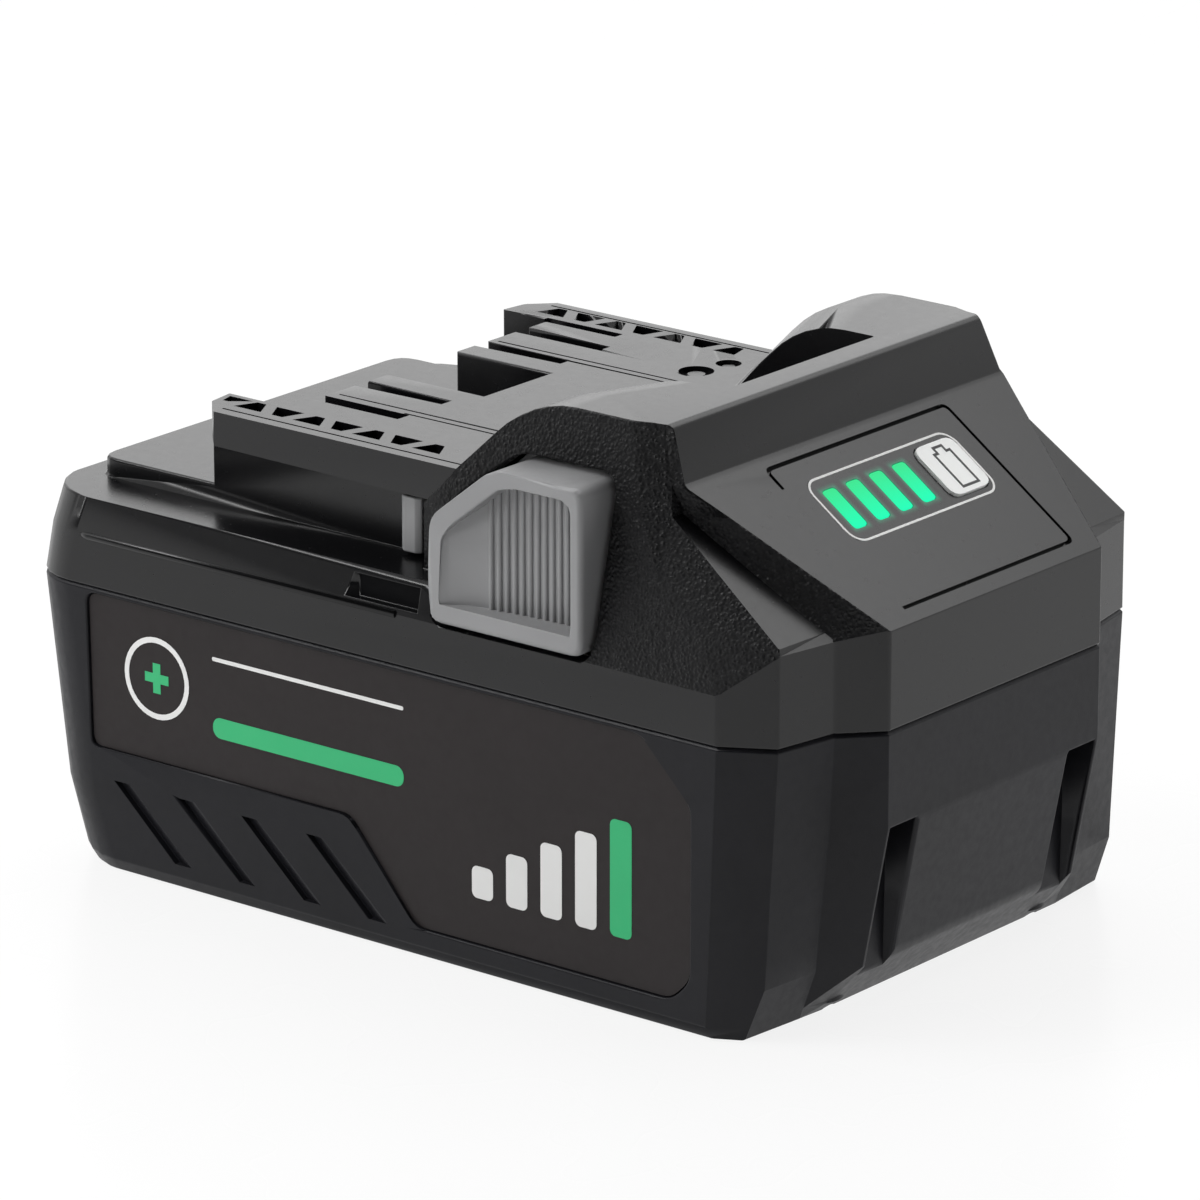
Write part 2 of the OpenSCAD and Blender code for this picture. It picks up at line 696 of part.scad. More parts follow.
// Finger scoop in the button, shallow at its left end
module scoop() {
    intersection() {
        side_slab(rounded(scoop_pts, 1.8), -button_y - over, -button_y + scoop_deep + over);
        translate([0, 0, scoop_low]) linear_extrude(case_h) difference() {
            polygon(concat([[scoop_pts[0][0], -button_y - over]],
                [for (k = [0 : 8]) scoop_floor(k / 8)],
                [[scoop_pts[1][0], -button_y - over]]));
            for (i = [0 : rib_count - 1])
                translate(scoop_floor(scoop_share(rib_x0 + i * rib_pitch))) circle(r = 0.34, $fn = 16);
        }
    }
}

module latch() {
    difference() {
        union() {
            side_slab(rounded(button_pts, 1.8), -button_y, -flange_y + flange_t);
            side_slab(rounded(flange_pts, 1.5),
                -flange_y, -flange_y + flange_t);
        }
        scoop();
        side_slab(rounded(grown(button_pts, button_mid, -1.9), 1.5), -cup_y + 2, -flange_y + flange_t + over);
    }
    block([button_x0 - 1, -flange_y + flange_t / 2, arm_z], [button_x0 + 2.5, -arm_y, arm_z + arm_h]);
    block([pawl_x, -arm_y, arm_z], [button_x0 + 2.5, arm_t - arm_y, arm_z + arm_h]);
    block([pawl_x, -rail_wall_y, pawl_z], [pawl_x + pawl_w, arm_t - arm_y, pawl_z + pawl_h]);
    translate([pawl_x + pawl_w / 2, -rail_wall_y, pawl_z]) intersection() {
        cylinder(r = pawl_w / 2 + 0.6, h = pawl_h);
        block([-pawl_w / 2, -pawl_reach, 0], [pawl_w / 2, over, pawl_h]);
    }
    translate([spring_x, 1 - cup_y, spring_z]) rotate([-90, 0, 0])
        cylinder(r = spring_r - spring_wire / 2 - 0.4, h = 4.5);
}
module left_latch() {
    color(latch_grey) latch();
}
module right_latch() {
    color(latch_grey) mirror([0, 1, 0]) latch();
}

// Latch springs: one wire on a helix between the button's cup and the hood rib
spring_ends = [2 - cup_y, -seat_y];
spring_span = spring_ends[1] - spring_ends[0] - spring_wire - 2 * seat_gap;
spring_rings = 10 * spring_turns;
wire_sides = 6;
function helix(i) = let (a = 360 * spring_turns * i / spring_rings)
    [spring_r * cos(a), spring_span * i / spring_rings, spring_r * sin(a)];
function wire_ring(i) = let (
    a = 360 * spring_turns * i / spring_rings,
    out = [cos(a), 0, sin(a)],
    round = spring_r * 2 * PI * spring_turns,
    ahead = toward([0, 0, 0], [-round * sin(a), spring_span, round * cos(a)]),
    up = cross(ahead, out))
    [for (s = [0 : wire_sides - 1]) let (b = 360 * s / wire_sides)
        helix(i) + spring_wire / 2 * (cos(b) * out + sin(b) * up)];
spring_free = min([for (i = [0 : spring_rings - 10]) norm(helix(i + 10) - helix(i))]) - spring_wire;
echo(spring_gap = spring_free);

module latch_spring() {
    points = [for (i = [0 : spring_rings], p = wire_ring(i)) p];
    sides = [for (i = [0 : spring_rings - 1], s = [0 : wire_sides - 1], half = [0, 1]) let (
        t = (s + 1) % wire_sides, a = i * wire_sides + s, b = i * wire_sides + t)
        half == 0 ? [a, b, b + wire_sides] : [a, b + wire_sides, a + wire_sides]];
    first = [for (s = [wire_sides - 1 : -1 : 0]) s];
    last = [for (s = [0 : wire_sides - 1]) spring_rings * wire_sides + s];
    translate([spring_x, spring_ends[0] + spring_wire / 2 + seat_gap, spring_z])
        polyhedron(points, concat([first, last], sides), convexity = 10);
}
module left_latch_spring() {
    color(steel_grey) latch_spring();
}
module right_latch_spring() {
    color(steel_grey) mirror([0, 1, 0]) latch_spring();
}

// Charge gauge on the slope
module gauge_bar_at(i) {
    translate([gauge_mid, bar_y0 + i * bar_pitch, 0]) children();
}

module plate(w, l, z0, z1, r = 0) {
    corners = [[-l / 2, -w / 2], [l / 2, -w / 2], [l / 2, w / 2], [-l / 2, w / 2]];
    translate([0, 0, z0]) linear_extrude(z1 - z0) polygon(r > 0 ? rounded(corners, r) : corners);
}

module gauge_window() {
    color([0.22, 0.22, 0.22]) on_gauge() difference() {
        translate([gauge_mid, 0, 0]) {
            plate(window_w, window_h, -wall - window_lip_t / 2, 0, window_r);
            plate(window_w + 2, window_h + 2, -wall - window_lip_t - seat_gap, -wall - seat_gap);
        }
        for (i = [0 : BARS - 1]) gauge_bar_at(i)
            plate(bar_w + 2 * seat_gap, bar_l + 2 * seat_gap, -2 * wall, over, bar_r + seat_gap);
        translate([gauge_mid, key_y, 0])
            plate(key_w + 4 * seat_gap, key_l + 4 * seat_gap, -2 * wall, over, key_r + 2 * seat_gap);
    }
}

key_stem_w = board_w + board_t + switch_t + 0.6;
module gauge_key() {
    color([0.88, 0.89, 0.88]) on_gauge() translate([gauge_mid, key_y, 0]) {
        plate(key_w, key_l, -wall - window_lip_t - 0.6, key_proud, key_r);
        plate(key_w + 1.2, key_l + 1.2, -wall - window_lip_t - 0.8, -wall - window_lip_t - 2 * seat_gap);
        translate([0, 0, key_stem_w]) cylinder(r = 1.5, h = -wall - window_lip_t - key_stem_w);
    }
}

module light_bar(i) {
    color([0.0, 0.95, 0.62]) on_gauge() gauge_bar_at(i - 1)
        plate(bar_w, bar_l, board_w + board_t + led_t, 0, bar_r);
}

gauge_board_half = window_w / 2 + 0.5;
gauge_board_up = window_h / 2 + 4.85;
gauge_board_down = window_h / 2 + 5.25;
module gauge_board() {
    color(board_green) on_gauge() difference() {
        block([gauge_mid - gauge_board_up, -gauge_board_half, board_w],
              [gauge_mid + gauge_board_down, gauge_board_half, board_w + board_t]);
        for (p = gauge_screw_at) translate([p[0], p[1], board_w - over])
            cylinder(r = 0.9, h = board_t + 2 * over);
    }
}

module gauge_leds() {
    color([0.85, 0.95, 0.85]) on_gauge() for (i = [0 : BARS - 1]) gauge_bar_at(i)
        plate(1.6, 3.2, board_w + board_t, board_w + board_t + led_t);
}

plunger_r = 1.2;
module switch_body() {
    color([0.1, 0.1, 0.1]) on_gauge() translate([gauge_mid, key_y, board_w + board_t]) difference() {
        plate(4.6, 4.6, 0, switch_t);
        translate([0, 0, 0.3]) cylinder(r = plunger_r + seat_gap, h = switch_t);
    }
}

module switch_plunger() {
    color([0.75, 0.72, 0.65]) on_gauge() translate([gauge_mid, key_y, board_w + board_t + 0.4 + key_travel])
        cylinder(r = plunger_r, h = switch_t + 0.2 - key_travel);
}

module gauge_screws() {
    color(steel_grey) on_gauge() for (p = gauge_screw_at) translate([p[0], p[1], board_w]) {
        translate([0, 0, -1.1]) cylinder(r = 1.5, h = 1.1);
        cylinder(r = 0.8, h = 4.5);
    }
}

// Main board on the cell holders
column_x = [for (i = [0 : columns - 1]) pack_mid_x + (i - (columns - 1) / 2) * cell_pitch];
board_screw_y = board_half - 6.2;
board_screw_at = [for (i = [0, 3], y = [-board_screw_y, board_screw_y]) [column_x[i] + cell_pitch / 2, y]];

module main_board() {
    color(board_green) difference() {
        block([board_x0, -board_half, board_z], [board_x1, board_half, board_top]);
        for (p = board_screw_at) translate([p[0], p[1], board_z - over])
            cylinder(r = 1.3, h = board_t + 2 * over);
    }
}

board_screw_head_r = 2;
module board_screws() {
    color(steel_grey) for (p = board_screw_at) translate([p[0], p[1], board_top]) {
        cylinder(r = board_screw_head_r, h = 1.2);
        translate([0, 0, -6]) cylinder(r = 1.2, h = 6);
    }
}

block_x0 = deck_tip_x + 2.4;
block_x1 = bay_end_x + 2.6;
block_z = board_top + 2.4;
tower_z = platform_z - 0.2;
block_half = slot_outer_y + 3.4;
module terminal_block() {
    color([0.16, 0.16, 0.17]) difference() {
        union() {
            block([block_x0, -block_half, board_top], [block_x1, block_half, block_z]);
            both_sides() block([block_x0, bay_half + 2.4, board_top], [block_x1, block_half, tower_z]);
        }
        for (p = board_screw_at) translate([p[0], p[1], board_top - over])
            cylinder(r = board_screw_head_r + 0.3, h = tower_z - board_top + 2 * over);
    }
}

contact_y = [-slot_outer_y, -slot_inner_y, slot_inner_y, slot_outer_y];
leaf_t = 0.5;
leaf_gap = 1;
// Contact clip: a foot and two upright leaves that pinch a blade
module contact(i) {
    y = contact_y[i - 1];
    half = leaf_gap / 2 + leaf_t;
    color([0.80, 0.52, 0.30]) {
        block([block_x0 + 0.6, y - half, tower_z], [deck_end_x - 1, y + half, tower_z + leaf_t]);
        for (s = [-1, 1]) translate([0, y + s * (half - leaf_t / 2), 0])
            block([block_x0 + 0.6, -leaf_t / 2, tower_z], [deck_end_x - 1, leaf_t / 2, deck_z - wall - 0.7]);
    }
}

fet_size = [6, 7, 2.2];
fet_pitch = 7.5;
fet_x0 = board_x1 - 40;
module power_transistors() {
    color([0.12, 0.12, 0.13]) for (i = [0 : 3])
        translate([fet_x0 + fet_pitch * i, -fet_size[1] + 1, board_top]) cube(fet_size);
}
fuse_size = [11, 6, 1.6];
module fuse() {
    color([0.80, 0.78, 0.70]) translate([board_x0 + 4, fuse_size[1] + 2, board_top]) cube(fuse_size);
}
chip_size = [8, 8, 1.2];
module controller_chip() {
    color([0.07, 0.07, 0.08]) translate([fet_x0 + 4, chip_size[1] - 3, board_top]) cube(chip_size);
}

header_x = board_x1 - 6;
ribbon_half = 4;
ribbon_t = 0.4;
ribbon_end = -13;
module ribbon_header() {
    color([0.85, 0.83, 0.76]) {
        block([header_x, -ribbon_half - 1, board_top], [header_x + 4, ribbon_half + 1, board_top + 1.5]);
        on_gauge() block([ribbon_end - 2, -ribbon_half - 1, board_w - 0.8],
            [ribbon_end + 2, ribbon_half + 1, board_w]);
    }
}

// Flat ribbon that climbs from the main board to the gauge board
ribbon_low = [header_x + 2, board_top + 1.5];
ribbon_high = [nose_x + ribbon_end * cos(gauge_angle) + (board_w - 0.8) * sin(gauge_angle),
    gauge_z - ribbon_end * sin(gauge_angle) + (board_w - 0.8) * cos(gauge_angle)];
module gauge_ribbon() {
    low_half = [ribbon_t / 2, 0];
    high_half = ribbon_t / 2 * [cos(gauge_angle), -sin(gauge_angle)];
    color([0.80, 0.45, 0.12]) side_slab([ribbon_low - low_half, ribbon_low + low_half,
        ribbon_high + high_half, ribbon_high - high_half], -ribbon_half, ribbon_half);
}

// Cell holders: end frames with a tray over the cells
holder_x0 = column_x[0] - bore_r - bore_skin;
holder_x1 = column_x[columns - 1] + bore_r + bore_skin;
module cell_grid() {
    for (x = column_x, k = [0 : rows - 1]) translate([x, 0, row_z + k * cell_pitch]) children();
}

module cell_holder() {
    inner = cell_end - holder_depth;
    frame_pts = [[holder_x0 + 3, wall], [holder_x1 - 3, wall], [holder_x1, wall + 3], [holder_x1, holder_top],
        [holder_x0, holder_top], [holder_x0, wall + 3]];
    difference() {
        union() {
            side_slab(frame_pts, -strip_y, -inner);
            block([holder_x0 + 2, -inner - over, holder_top - bore_skin],
                  [holder_x1 - 2, -tray_gap, holder_top]);
            for (p = board_screw_at) if (p[1] < 0) translate([p[0], p[1], holder_top - 5.2])
                cylinder(r = 2.2, h = 5.2 + board_z - holder_top);
        }
        cell_grid() rotate([90, 0, 0]) translate([0, 0, -cell_end]) cylinder(r = bore_r, h = 2 * cell_end);
        cell_grid() rotate([90, 0, 0]) translate([0, 0, inner])
            cylinder(r = cell_r - 2, h = holder_depth + 2 * over);
        for (p = board_screw_at) if (p[1] < 0) translate([p[0], p[1], holder_top - 4.8])
            cylinder(r = 1.25, h = 4.8 + board_z - holder_top + over);
    }
}
module left_cell_holder() {
    color([0.55, 0.56, 0.58]) cell_holder();
}
module right_cell_holder() {
    color([0.55, 0.56, 0.58]) mirror([0, 1, 0]) cell_holder();
}

// Cells lie across the pack; polarity turns from column to column
module cell(i) {
    column = floor((i - 1) / rows);
    turn = column % 2 == 0 ? 0 : 180;
    color([0.10, 0.42, 0.62]) translate([column_x[column], 0, row_z + ((i - 1) % rows) * cell_pitch])
        rotate([90, 0, turn]) {
            translate([0, 0, -cell_end]) cylinder(r = cell_r, h = cell_l - nub_h);
            translate([0, 0, cell_end - nub_h - over]) cylinder(r = nub_r, h = nub_h + over);
        }
}

// Nickel strips: first and last column of each joined group, and the side
strip_groups = [[0, 0, -1], [1, 2, -1], [3, 4, -1], [0, 1, 1], [2, 3, 1], [4, 4, 1]];
strip_half = 5;
tab_half = 3;
dimple_r = 2.2;
module nickel_strip(i) {
    g = strip_groups[i - 1];
    x0 = column_x[g[0]];
    x1 = column_x[g[1]];
    mid = (x0 + x1) / 2;
    low = row_z - strip_half;
    high = row_z + cell_pitch + strip_half;
    color(metal_grey) mirror([0, g[2] > 0 ? 1 : 0, 0]) {
        block([x0 - strip_half, -strip_y - strip_t, low], [x1 + strip_half, -strip_y, high]);
        for (x = [x0, x1], z = [row_z, row_z + cell_pitch]) translate([x, -cell_end, z]) rotate([90, 0, 0])
            cylinder(r = dimple_r, h = ring_t + strip_t / 2);
        translate([mid - tab_half, 0, 0]) {
            block([0, -strip_y - strip_t, high - over], [2 * tab_half, -strip_y, holder_top + strip_t]);
            block([0, -strip_y - strip_t / 2, holder_top], [2 * tab_half, -board_half, holder_top + strip_t]);
            block([0, -board_half - strip_t, holder_top], [2 * tab_half, -board_half, board_top]);
        }
    }
}

module insulator() {
    block([holder_x0 + 1, -foam_y, wall + 4],
          [holder_x1 - 1, -sheet_y, row_z + cell_pitch + strip_half + 0.5]);
}
module left_insulator() {
    color([0.82, 0.80, 0.72]) insulator();
}
module right_insulator() {
    color([0.82, 0.80, 0.72]) mirror([0, 1, 0]) insulator();
}

foam_half = 5;
foam_low = row_z - 2.2;
foam_high = split_z - 3;
module foam() {
    for (x = column_x)
        block([x - foam_half, -foam_y - foam_t, foam_low], [x + foam_half, -foam_y, foam_high]);
}
module left_foam() {
    color([0.20, 0.20, 0.21]) foam();
}
module right_foam() {
    color([0.20, 0.20, 0.21]) mirror([0, 1, 0]) foam();
}

// Thermistor bead in the valley between two cells, with its two legs up to the board
bead_r = 1.5;
bead_x = (column_x[1] + column_x[2]) / 2;
bead_z = row_z + cell_pitch + sqrt(pow(cell_r + bead_r + seat_gap, 2) - pow(cell_pitch / 2, 2));
module thermistor() {
    color([0.05, 0.05, 0.05]) {
        translate([bead_x, 3, bead_z]) rotate([90, 0, 0]) cylinder(r = bead_r, h = 6);
        for (s = [-1, 1]) translate([bead_x + 0.7 * s, 0, bead_z]) cylinder(r = 0.3, h = board_z - bead_z);
    }
}

module case_screws() {
    color(steel_grey) at_case_screws() difference() {
        union() {
            translate([0, 0, screw_sink - screw_head_h]) cylinder(r = screw_head_r, h = screw_head_h);
            translate([0, 0, screw_sink]) cylinder(r = screw_r, h = screw_l);
        }
        for (a = [0, 90]) rotate([0, 0, a]) translate([-1.4, -0.3, screw_sink - screw_head_h - over])
            cube([2.8, 0.6, 1 + over]);
    }
}

lower_case();
upper_case();
left_label();
right_label();
left_latch();
right_latch();
left_latch_spring();
right_latch_spring();
gauge_window();
gauge_key();
for (i = [1 : BARS]) light_bar(i);
gauge_board();
gauge_leds();
switch_body();
switch_plunger();
gauge_screws();
gauge_ribbon();
main_board();
board_screws();
terminal_block();
for (i = [1 : 4]) contact(i);
power_transistors();
fuse();
controller_chip();
ribbon_header();
left_cell_holder();
right_cell_holder();
for (i = [1 : CELLS]) cell(i);
for (i = [1 : 6]) nickel_strip(i);
left_insulator();
right_insulator();
left_foam();
right_foam();
thermistor();
case_screws();
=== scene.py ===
import json
import math
from itertools import product

import bmesh
import bpy
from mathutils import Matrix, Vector
from mathutils.bvhtree import BVHTree


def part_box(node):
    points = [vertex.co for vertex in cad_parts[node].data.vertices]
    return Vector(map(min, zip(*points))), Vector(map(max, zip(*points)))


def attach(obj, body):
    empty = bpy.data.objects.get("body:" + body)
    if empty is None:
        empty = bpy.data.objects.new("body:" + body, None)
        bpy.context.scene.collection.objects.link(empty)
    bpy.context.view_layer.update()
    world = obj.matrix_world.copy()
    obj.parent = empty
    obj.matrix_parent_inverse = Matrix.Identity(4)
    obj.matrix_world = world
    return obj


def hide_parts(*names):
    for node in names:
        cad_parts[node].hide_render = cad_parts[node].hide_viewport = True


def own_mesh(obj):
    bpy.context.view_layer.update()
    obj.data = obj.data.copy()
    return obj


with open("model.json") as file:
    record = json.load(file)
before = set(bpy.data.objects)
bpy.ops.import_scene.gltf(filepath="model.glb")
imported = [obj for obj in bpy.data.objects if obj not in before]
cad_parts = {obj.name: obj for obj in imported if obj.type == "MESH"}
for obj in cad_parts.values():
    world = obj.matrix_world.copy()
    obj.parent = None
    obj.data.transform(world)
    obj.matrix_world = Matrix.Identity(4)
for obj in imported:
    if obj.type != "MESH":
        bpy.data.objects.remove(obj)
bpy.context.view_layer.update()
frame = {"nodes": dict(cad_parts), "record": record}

MM = 0.001
scene = bpy.context.scene
nodes_in = frame["nodes"]

# Colours, as linear values
CASE_BLACK = (0.0032, 0.0032, 0.0038)
LOWER_BLACK = (0.0098, 0.0098, 0.0122)
LABEL_BLACK = (0.0160, 0.0125, 0.0128)
LATCH_GREY = (0.275, 0.276, 0.281)
PRINT_WHITE = (0.80, 0.80, 0.79)
PRINT_GREEN = (0.030, 0.470, 0.180)
KEY_WHITE = (0.90, 0.91, 0.90)
WINDOW_DARK = (0.0038, 0.0038, 0.0042)
WINDOW_PALE = (0.0044, 0.0044, 0.0048)
GUIDE_DARK = (0.0, 0.05, 0.02)
GUIDE_PALE = (0.0, 0.06, 0.03)
LIT_FOOT = (0.0, 0.96, 0.46)
LIT_TOP = (0.035, 0.74, 0.25)
# Painted glow: emission colour on the window round the lit bars
PAINTED_GLOW_GREEN = (0.0, 0.16, 0.08)
UNLIT = (0.0, 0.0, 0.0)
FLOOR_DARK = (0.88, 0.88, 0.88)
FLOOR_PALE = (0.9, 0.9, 0.9)
PLAIN_WHITE = (1, 1, 1, 1)

# Main heights and lengths of the case, in mm
SPLIT_Z = 35.8
SHOULDER_Z = 42.2
LEDGE_Z = 46.8
SIDE_Y = 37.5
POCKET_Y = 36.3
DECK_Z = 59.5
TAIL_X = -60
HOOD_X = 0.8
BUTTON_X = 4.6
DECK_END_X = 12.3
BAND_X = 33.5
SLOPE_X = 38.5
LABEL_Y = 37.1

# Frame of the gauge slope: u down the slope, v across, w outwards
GAUGE_TILT = math.radians(35)
GAUGE_ORIGIN = Vector((60, 0, 48)) * MM
GAUGE_U = Vector((math.cos(GAUGE_TILT), 0, -math.sin(GAUGE_TILT)))
GAUGE_W = Vector((math.sin(GAUGE_TILT), 0, math.cos(GAUGE_TILT)))

# Window, light bars and key on the slope, in mm
WINDOW_U = -17
WINDOW_HALF_U = 5.5
WINDOW_HALF_V = 14.5
BAR_V = -11.1
BAR_PITCH = 4.45
BAR_W = 2.4
BAR_L = 6.1
BAR_FOOT_Z = 56.0
BAR_TOP_Z = 59.5
KEY_V = 9.55
GLOW = 0.9
GLOW_END_V = BAR_V + 3.6 * BAR_PITCH


def link(obj):
    scene.collection.objects.link(obj)
    return obj


def mesh_object(name, bm):
    mesh = bpy.data.meshes.new(name)
    bm.to_mesh(mesh)
    bm.free()
    return link(bpy.data.objects.new(name, mesh))


# Materials

# Noise scales, per metre
PATCHES = 60
GLOSS_SPOTS = 900
FINE_GRAIN = 5200
SWIRLS = 1100
STREAKS = 1600

# How far the swirls pull the pebbles of the grain about
WARP = 0.0004


class Nodes:
    """The node tree of a material or a world, with short calls for the nodes used here."""

    def __init__(self, owner, place="Object"):
        owner.use_nodes = True
        self.owner = owner
        self.tree = owner.node_tree
        self.shader = self.tree.nodes.get("Principled BSDF")
        self.place = self.tree.nodes.new("ShaderNodeTexCoord").outputs[place]

    def add(self, kind, **values):
        node = self.tree.nodes.new(kind)
        for key, value in values.items():
            setattr(node, key, value)
        return node

    def join(self, a, b):
        self.tree.links.new(a, b)

    def feed(self, socket, value):
        """Sets a socket to a plain value, or links it to another node's output."""
        if hasattr(value, "is_output"):
            self.join(value, socket)
        else:
            socket.default_value = value

    def made(self, kind, output, inputs, **values):
        """One output of a new node with these inputs."""
        node = self.add(kind, **values)
        for key, value in inputs.items():
            self.feed(node.inputs[key], value)
        return node.outputs[output]

    def calc(self, operation, *values):
        return self.made("ShaderNodeMath", 0, dict(enumerate(values)), operation=operation)

    def axes(self):
        node = self.add("ShaderNodeSeparateXYZ")
        self.join(self.place, node.inputs["Vector"])
        return [node.outputs[axis] for axis in "XYZ"]

    def stretched(self, scale):
        return self.made("ShaderNodeMapping", "Vector", {"Scale": scale, "Vector": self.place})

    def noise(self, scale, detail=3.0, rough=0.55, vector=None, output="Fac"):
        return self.made("ShaderNodeTexNoise", output, {"Scale": scale, "Detail": detail, "Roughness": rough,
                                                        "Vector": vector or self.place})

    def cells(self, scale, smooth, vector):
        return self.made("ShaderNodeTexVoronoi", "Distance",
                         {"Scale": scale, "Smoothness": smooth, "Vector": vector}, feature="SMOOTH_F1")

    def spread(self, value, low, high, start=0.3, end=0.7, curve="LINEAR"):
        return self.made("ShaderNodeMapRange", "Result",
                         {"Value": value, "From Min": start, "From Max": end, "To Min": low, "To Max": high},
                         interpolation_type=curve)

    def tint(self, value, low, high):
        return self.made("ShaderNodeMix", "Result", {"Factor": value, "A": (*low, 1), "B": (*high, 1)},
                         data_type="RGBA")

    def bump(self, height, distance, under=None):
        inputs = {"Strength": 1.0, "Distance": distance, "Height": height}
        if under:
            inputs["Normal"] = under
        return self.made("ShaderNodeBump", "Normal", inputs)

    def set(self, **values):
        for key, value in values.items():
            self.feed(self.shader.inputs[key.replace("_", " ")], value)

    def background_rays(self):
        """1 for a ray that shows the background: from the camera, off a glossy face or through glass."""
        rays = self.add("ShaderNodeLightPath").outputs
        total = self.calc("MAXIMUM", rays["Is Camera Ray"], rays["Is Glossy Ray"])
        return self.calc("MAXIMUM", total, rays["Is Transmission Ray"])

    def blend(self, share, first, second, output):
        """Both shaders, mixed, on the output node."""
        mixed = self.made("ShaderNodeMixShader", 0, {0: share, 1: first, 2: second})
        self.join(mixed, self.tree.nodes[output].inputs["Surface"])


def material(name):
    return Nodes(bpy.data.materials.new(name))


def scaled(colour, factor):
    return tuple(c * factor for c in colour)


def moulded(name, colour, rough, grain=0.0, grain_size=0.45, fine=0.00001, vary=0.18, specular=0.5,
            even=0.05):
    """Moulded plastic: fine surface texture, an optional leather-like grain, and uneven tone and gloss."""
    n = material(name)
    patch = n.spread(n.noise(PATCHES, 2), 0, 1)
    n.set(Base_Color=n.tint(patch, scaled(colour, 1 - vary), scaled(colour, 1 + vary)))
    normal = n.bump(n.noise(FINE_GRAIN, 2), fine)
    if grain:
        swirl = n.noise(SWIRLS, 2, 0.5, output="Color")
        warped = n.made("ShaderNodeMix", "Result", {"Factor": WARP, "A": n.place, "B": swirl},
                        data_type="VECTOR")
        pebbles = n.cells(1000 / grain_size, 0.5, warped)
        normal = n.bump(pebbles, -grain, normal)
        normal = n.bump(n.noise(600 / grain_size, 2), grain * 0.8, normal)
        gloss = n.spread(pebbles, rough - 3 * even, rough + 3 * even, 0.1, 0.6)
    else:
        gloss = n.spread(n.noise(GLOSS_SPOTS, 4), rough - even, rough + even)
    n.set(Roughness=gloss, Normal=normal, Specular_IOR_Level=specular)
    return n.owner


def metal(name, colour, rough, brush=(1, 1, 1)):
    """Rolled or plated metal with fine streaks."""
    n = material(name)
    streak = n.noise(STREAKS, 4, 0.6, n.stretched(brush))
    n.set(Base_Color=n.tint(n.spread(streak, 0, 1), scaled(colour, 0.82), scaled(colour, 1.08)))
    n.set(Roughness=n.spread(streak, rough - 0.08, rough + 0.1), Metallic=1.0)
    n.set(Normal=n.bump(streak, 0.000008))
    return n.owner


upper_smooth = moulded("case_satin", CASE_BLACK, 0.26, fine=0.000002, specular=0.42, even=0.015)
upper_grain = moulded("case_grained", CASE_BLACK, 0.48, grain=0.0002, specular=0.32)
# The pockets' copy of the case plastic: matt, with its gloss cut low so the pockets look darker, as painted
# shade
pocket_matt_painted_shade = moulded("pocket_matt_painted_shade", CASE_BLACK, 0.7, specular=0.08)
lower_satin = moulded("lower_case_satin", LOWER_BLACK, 0.42, specular=0.22)
label_film = moulded("label_film", LABEL_BLACK, 0.5, fine=0.000004, vary=0.06, specular=0.3)
latch_satin = moulded("latch_satin", LATCH_GREY, 0.42, vary=0.05)
print_white = moulded("print_white", PRINT_WHITE, 0.5, fine=0.000003, vary=0.03)
print_green = moulded("print_green", PRINT_GREEN, 0.5, fine=0.000003, vary=0.04)
key_white = moulded("key_white", KEY_WHITE, 0.45, fine=0.000004, vary=0.03)
chip_black = moulded("chip_black", (0.02, 0.02, 0.022), 0.5)
holder_grey = moulded("holder_grey", (0.2, 0.205, 0.215), 0.5)
sleeve_blue = moulded("sleeve_blue", (0.02, 0.10, 0.23), 0.35, fine=0.000004)
sheet_paper = moulded("sheet_paper", (0.55, 0.52, 0.43), 0.7, fine=0.00003)
foam_black = moulded("foam_black", (0.02, 0.02, 0.02), 0.8, grain=0.00015, grain_size=0.8)
board_green = moulded("board_green", (0.015, 0.09, 0.035), 0.35, fine=0.000006)
ribbon_amber = moulded("ribbon_amber", (0.42, 0.16, 0.02), 0.4, fine=0.000004)
steel = metal("zinc_steel", (0.55, 0.55, 0.57), 0.35)
copper = metal("contact_copper", (0.78, 0.50, 0.28), 0.32, (1, 1, 0.1))
nickel = metal("strip_nickel", (0.68, 0.66, 0.60), 0.34, (0.1, 1, 1))


def lit_green():
    """Light guide, lit from behind: brightest at the foot of the bar."""
    n = material("light_green")
    n.set(Base_Color=n.tint(n.spread(n.noise(400, 2), 0, 1), GUIDE_DARK, GUIDE_PALE))
    height = n.spread(n.axes()[2], 0, 1, BAR_FOOT_Z * MM, BAR_TOP_Z * MM)
    n.set(Emission_Color=n.tint(height, LIT_FOOT, LIT_TOP), Emission_Strength=1.0)
    n.set(Roughness=0.5, Specular_IOR_Level=0.1, Normal=n.bump(n.noise(3000, 2), 0.000004))
    return n.owner


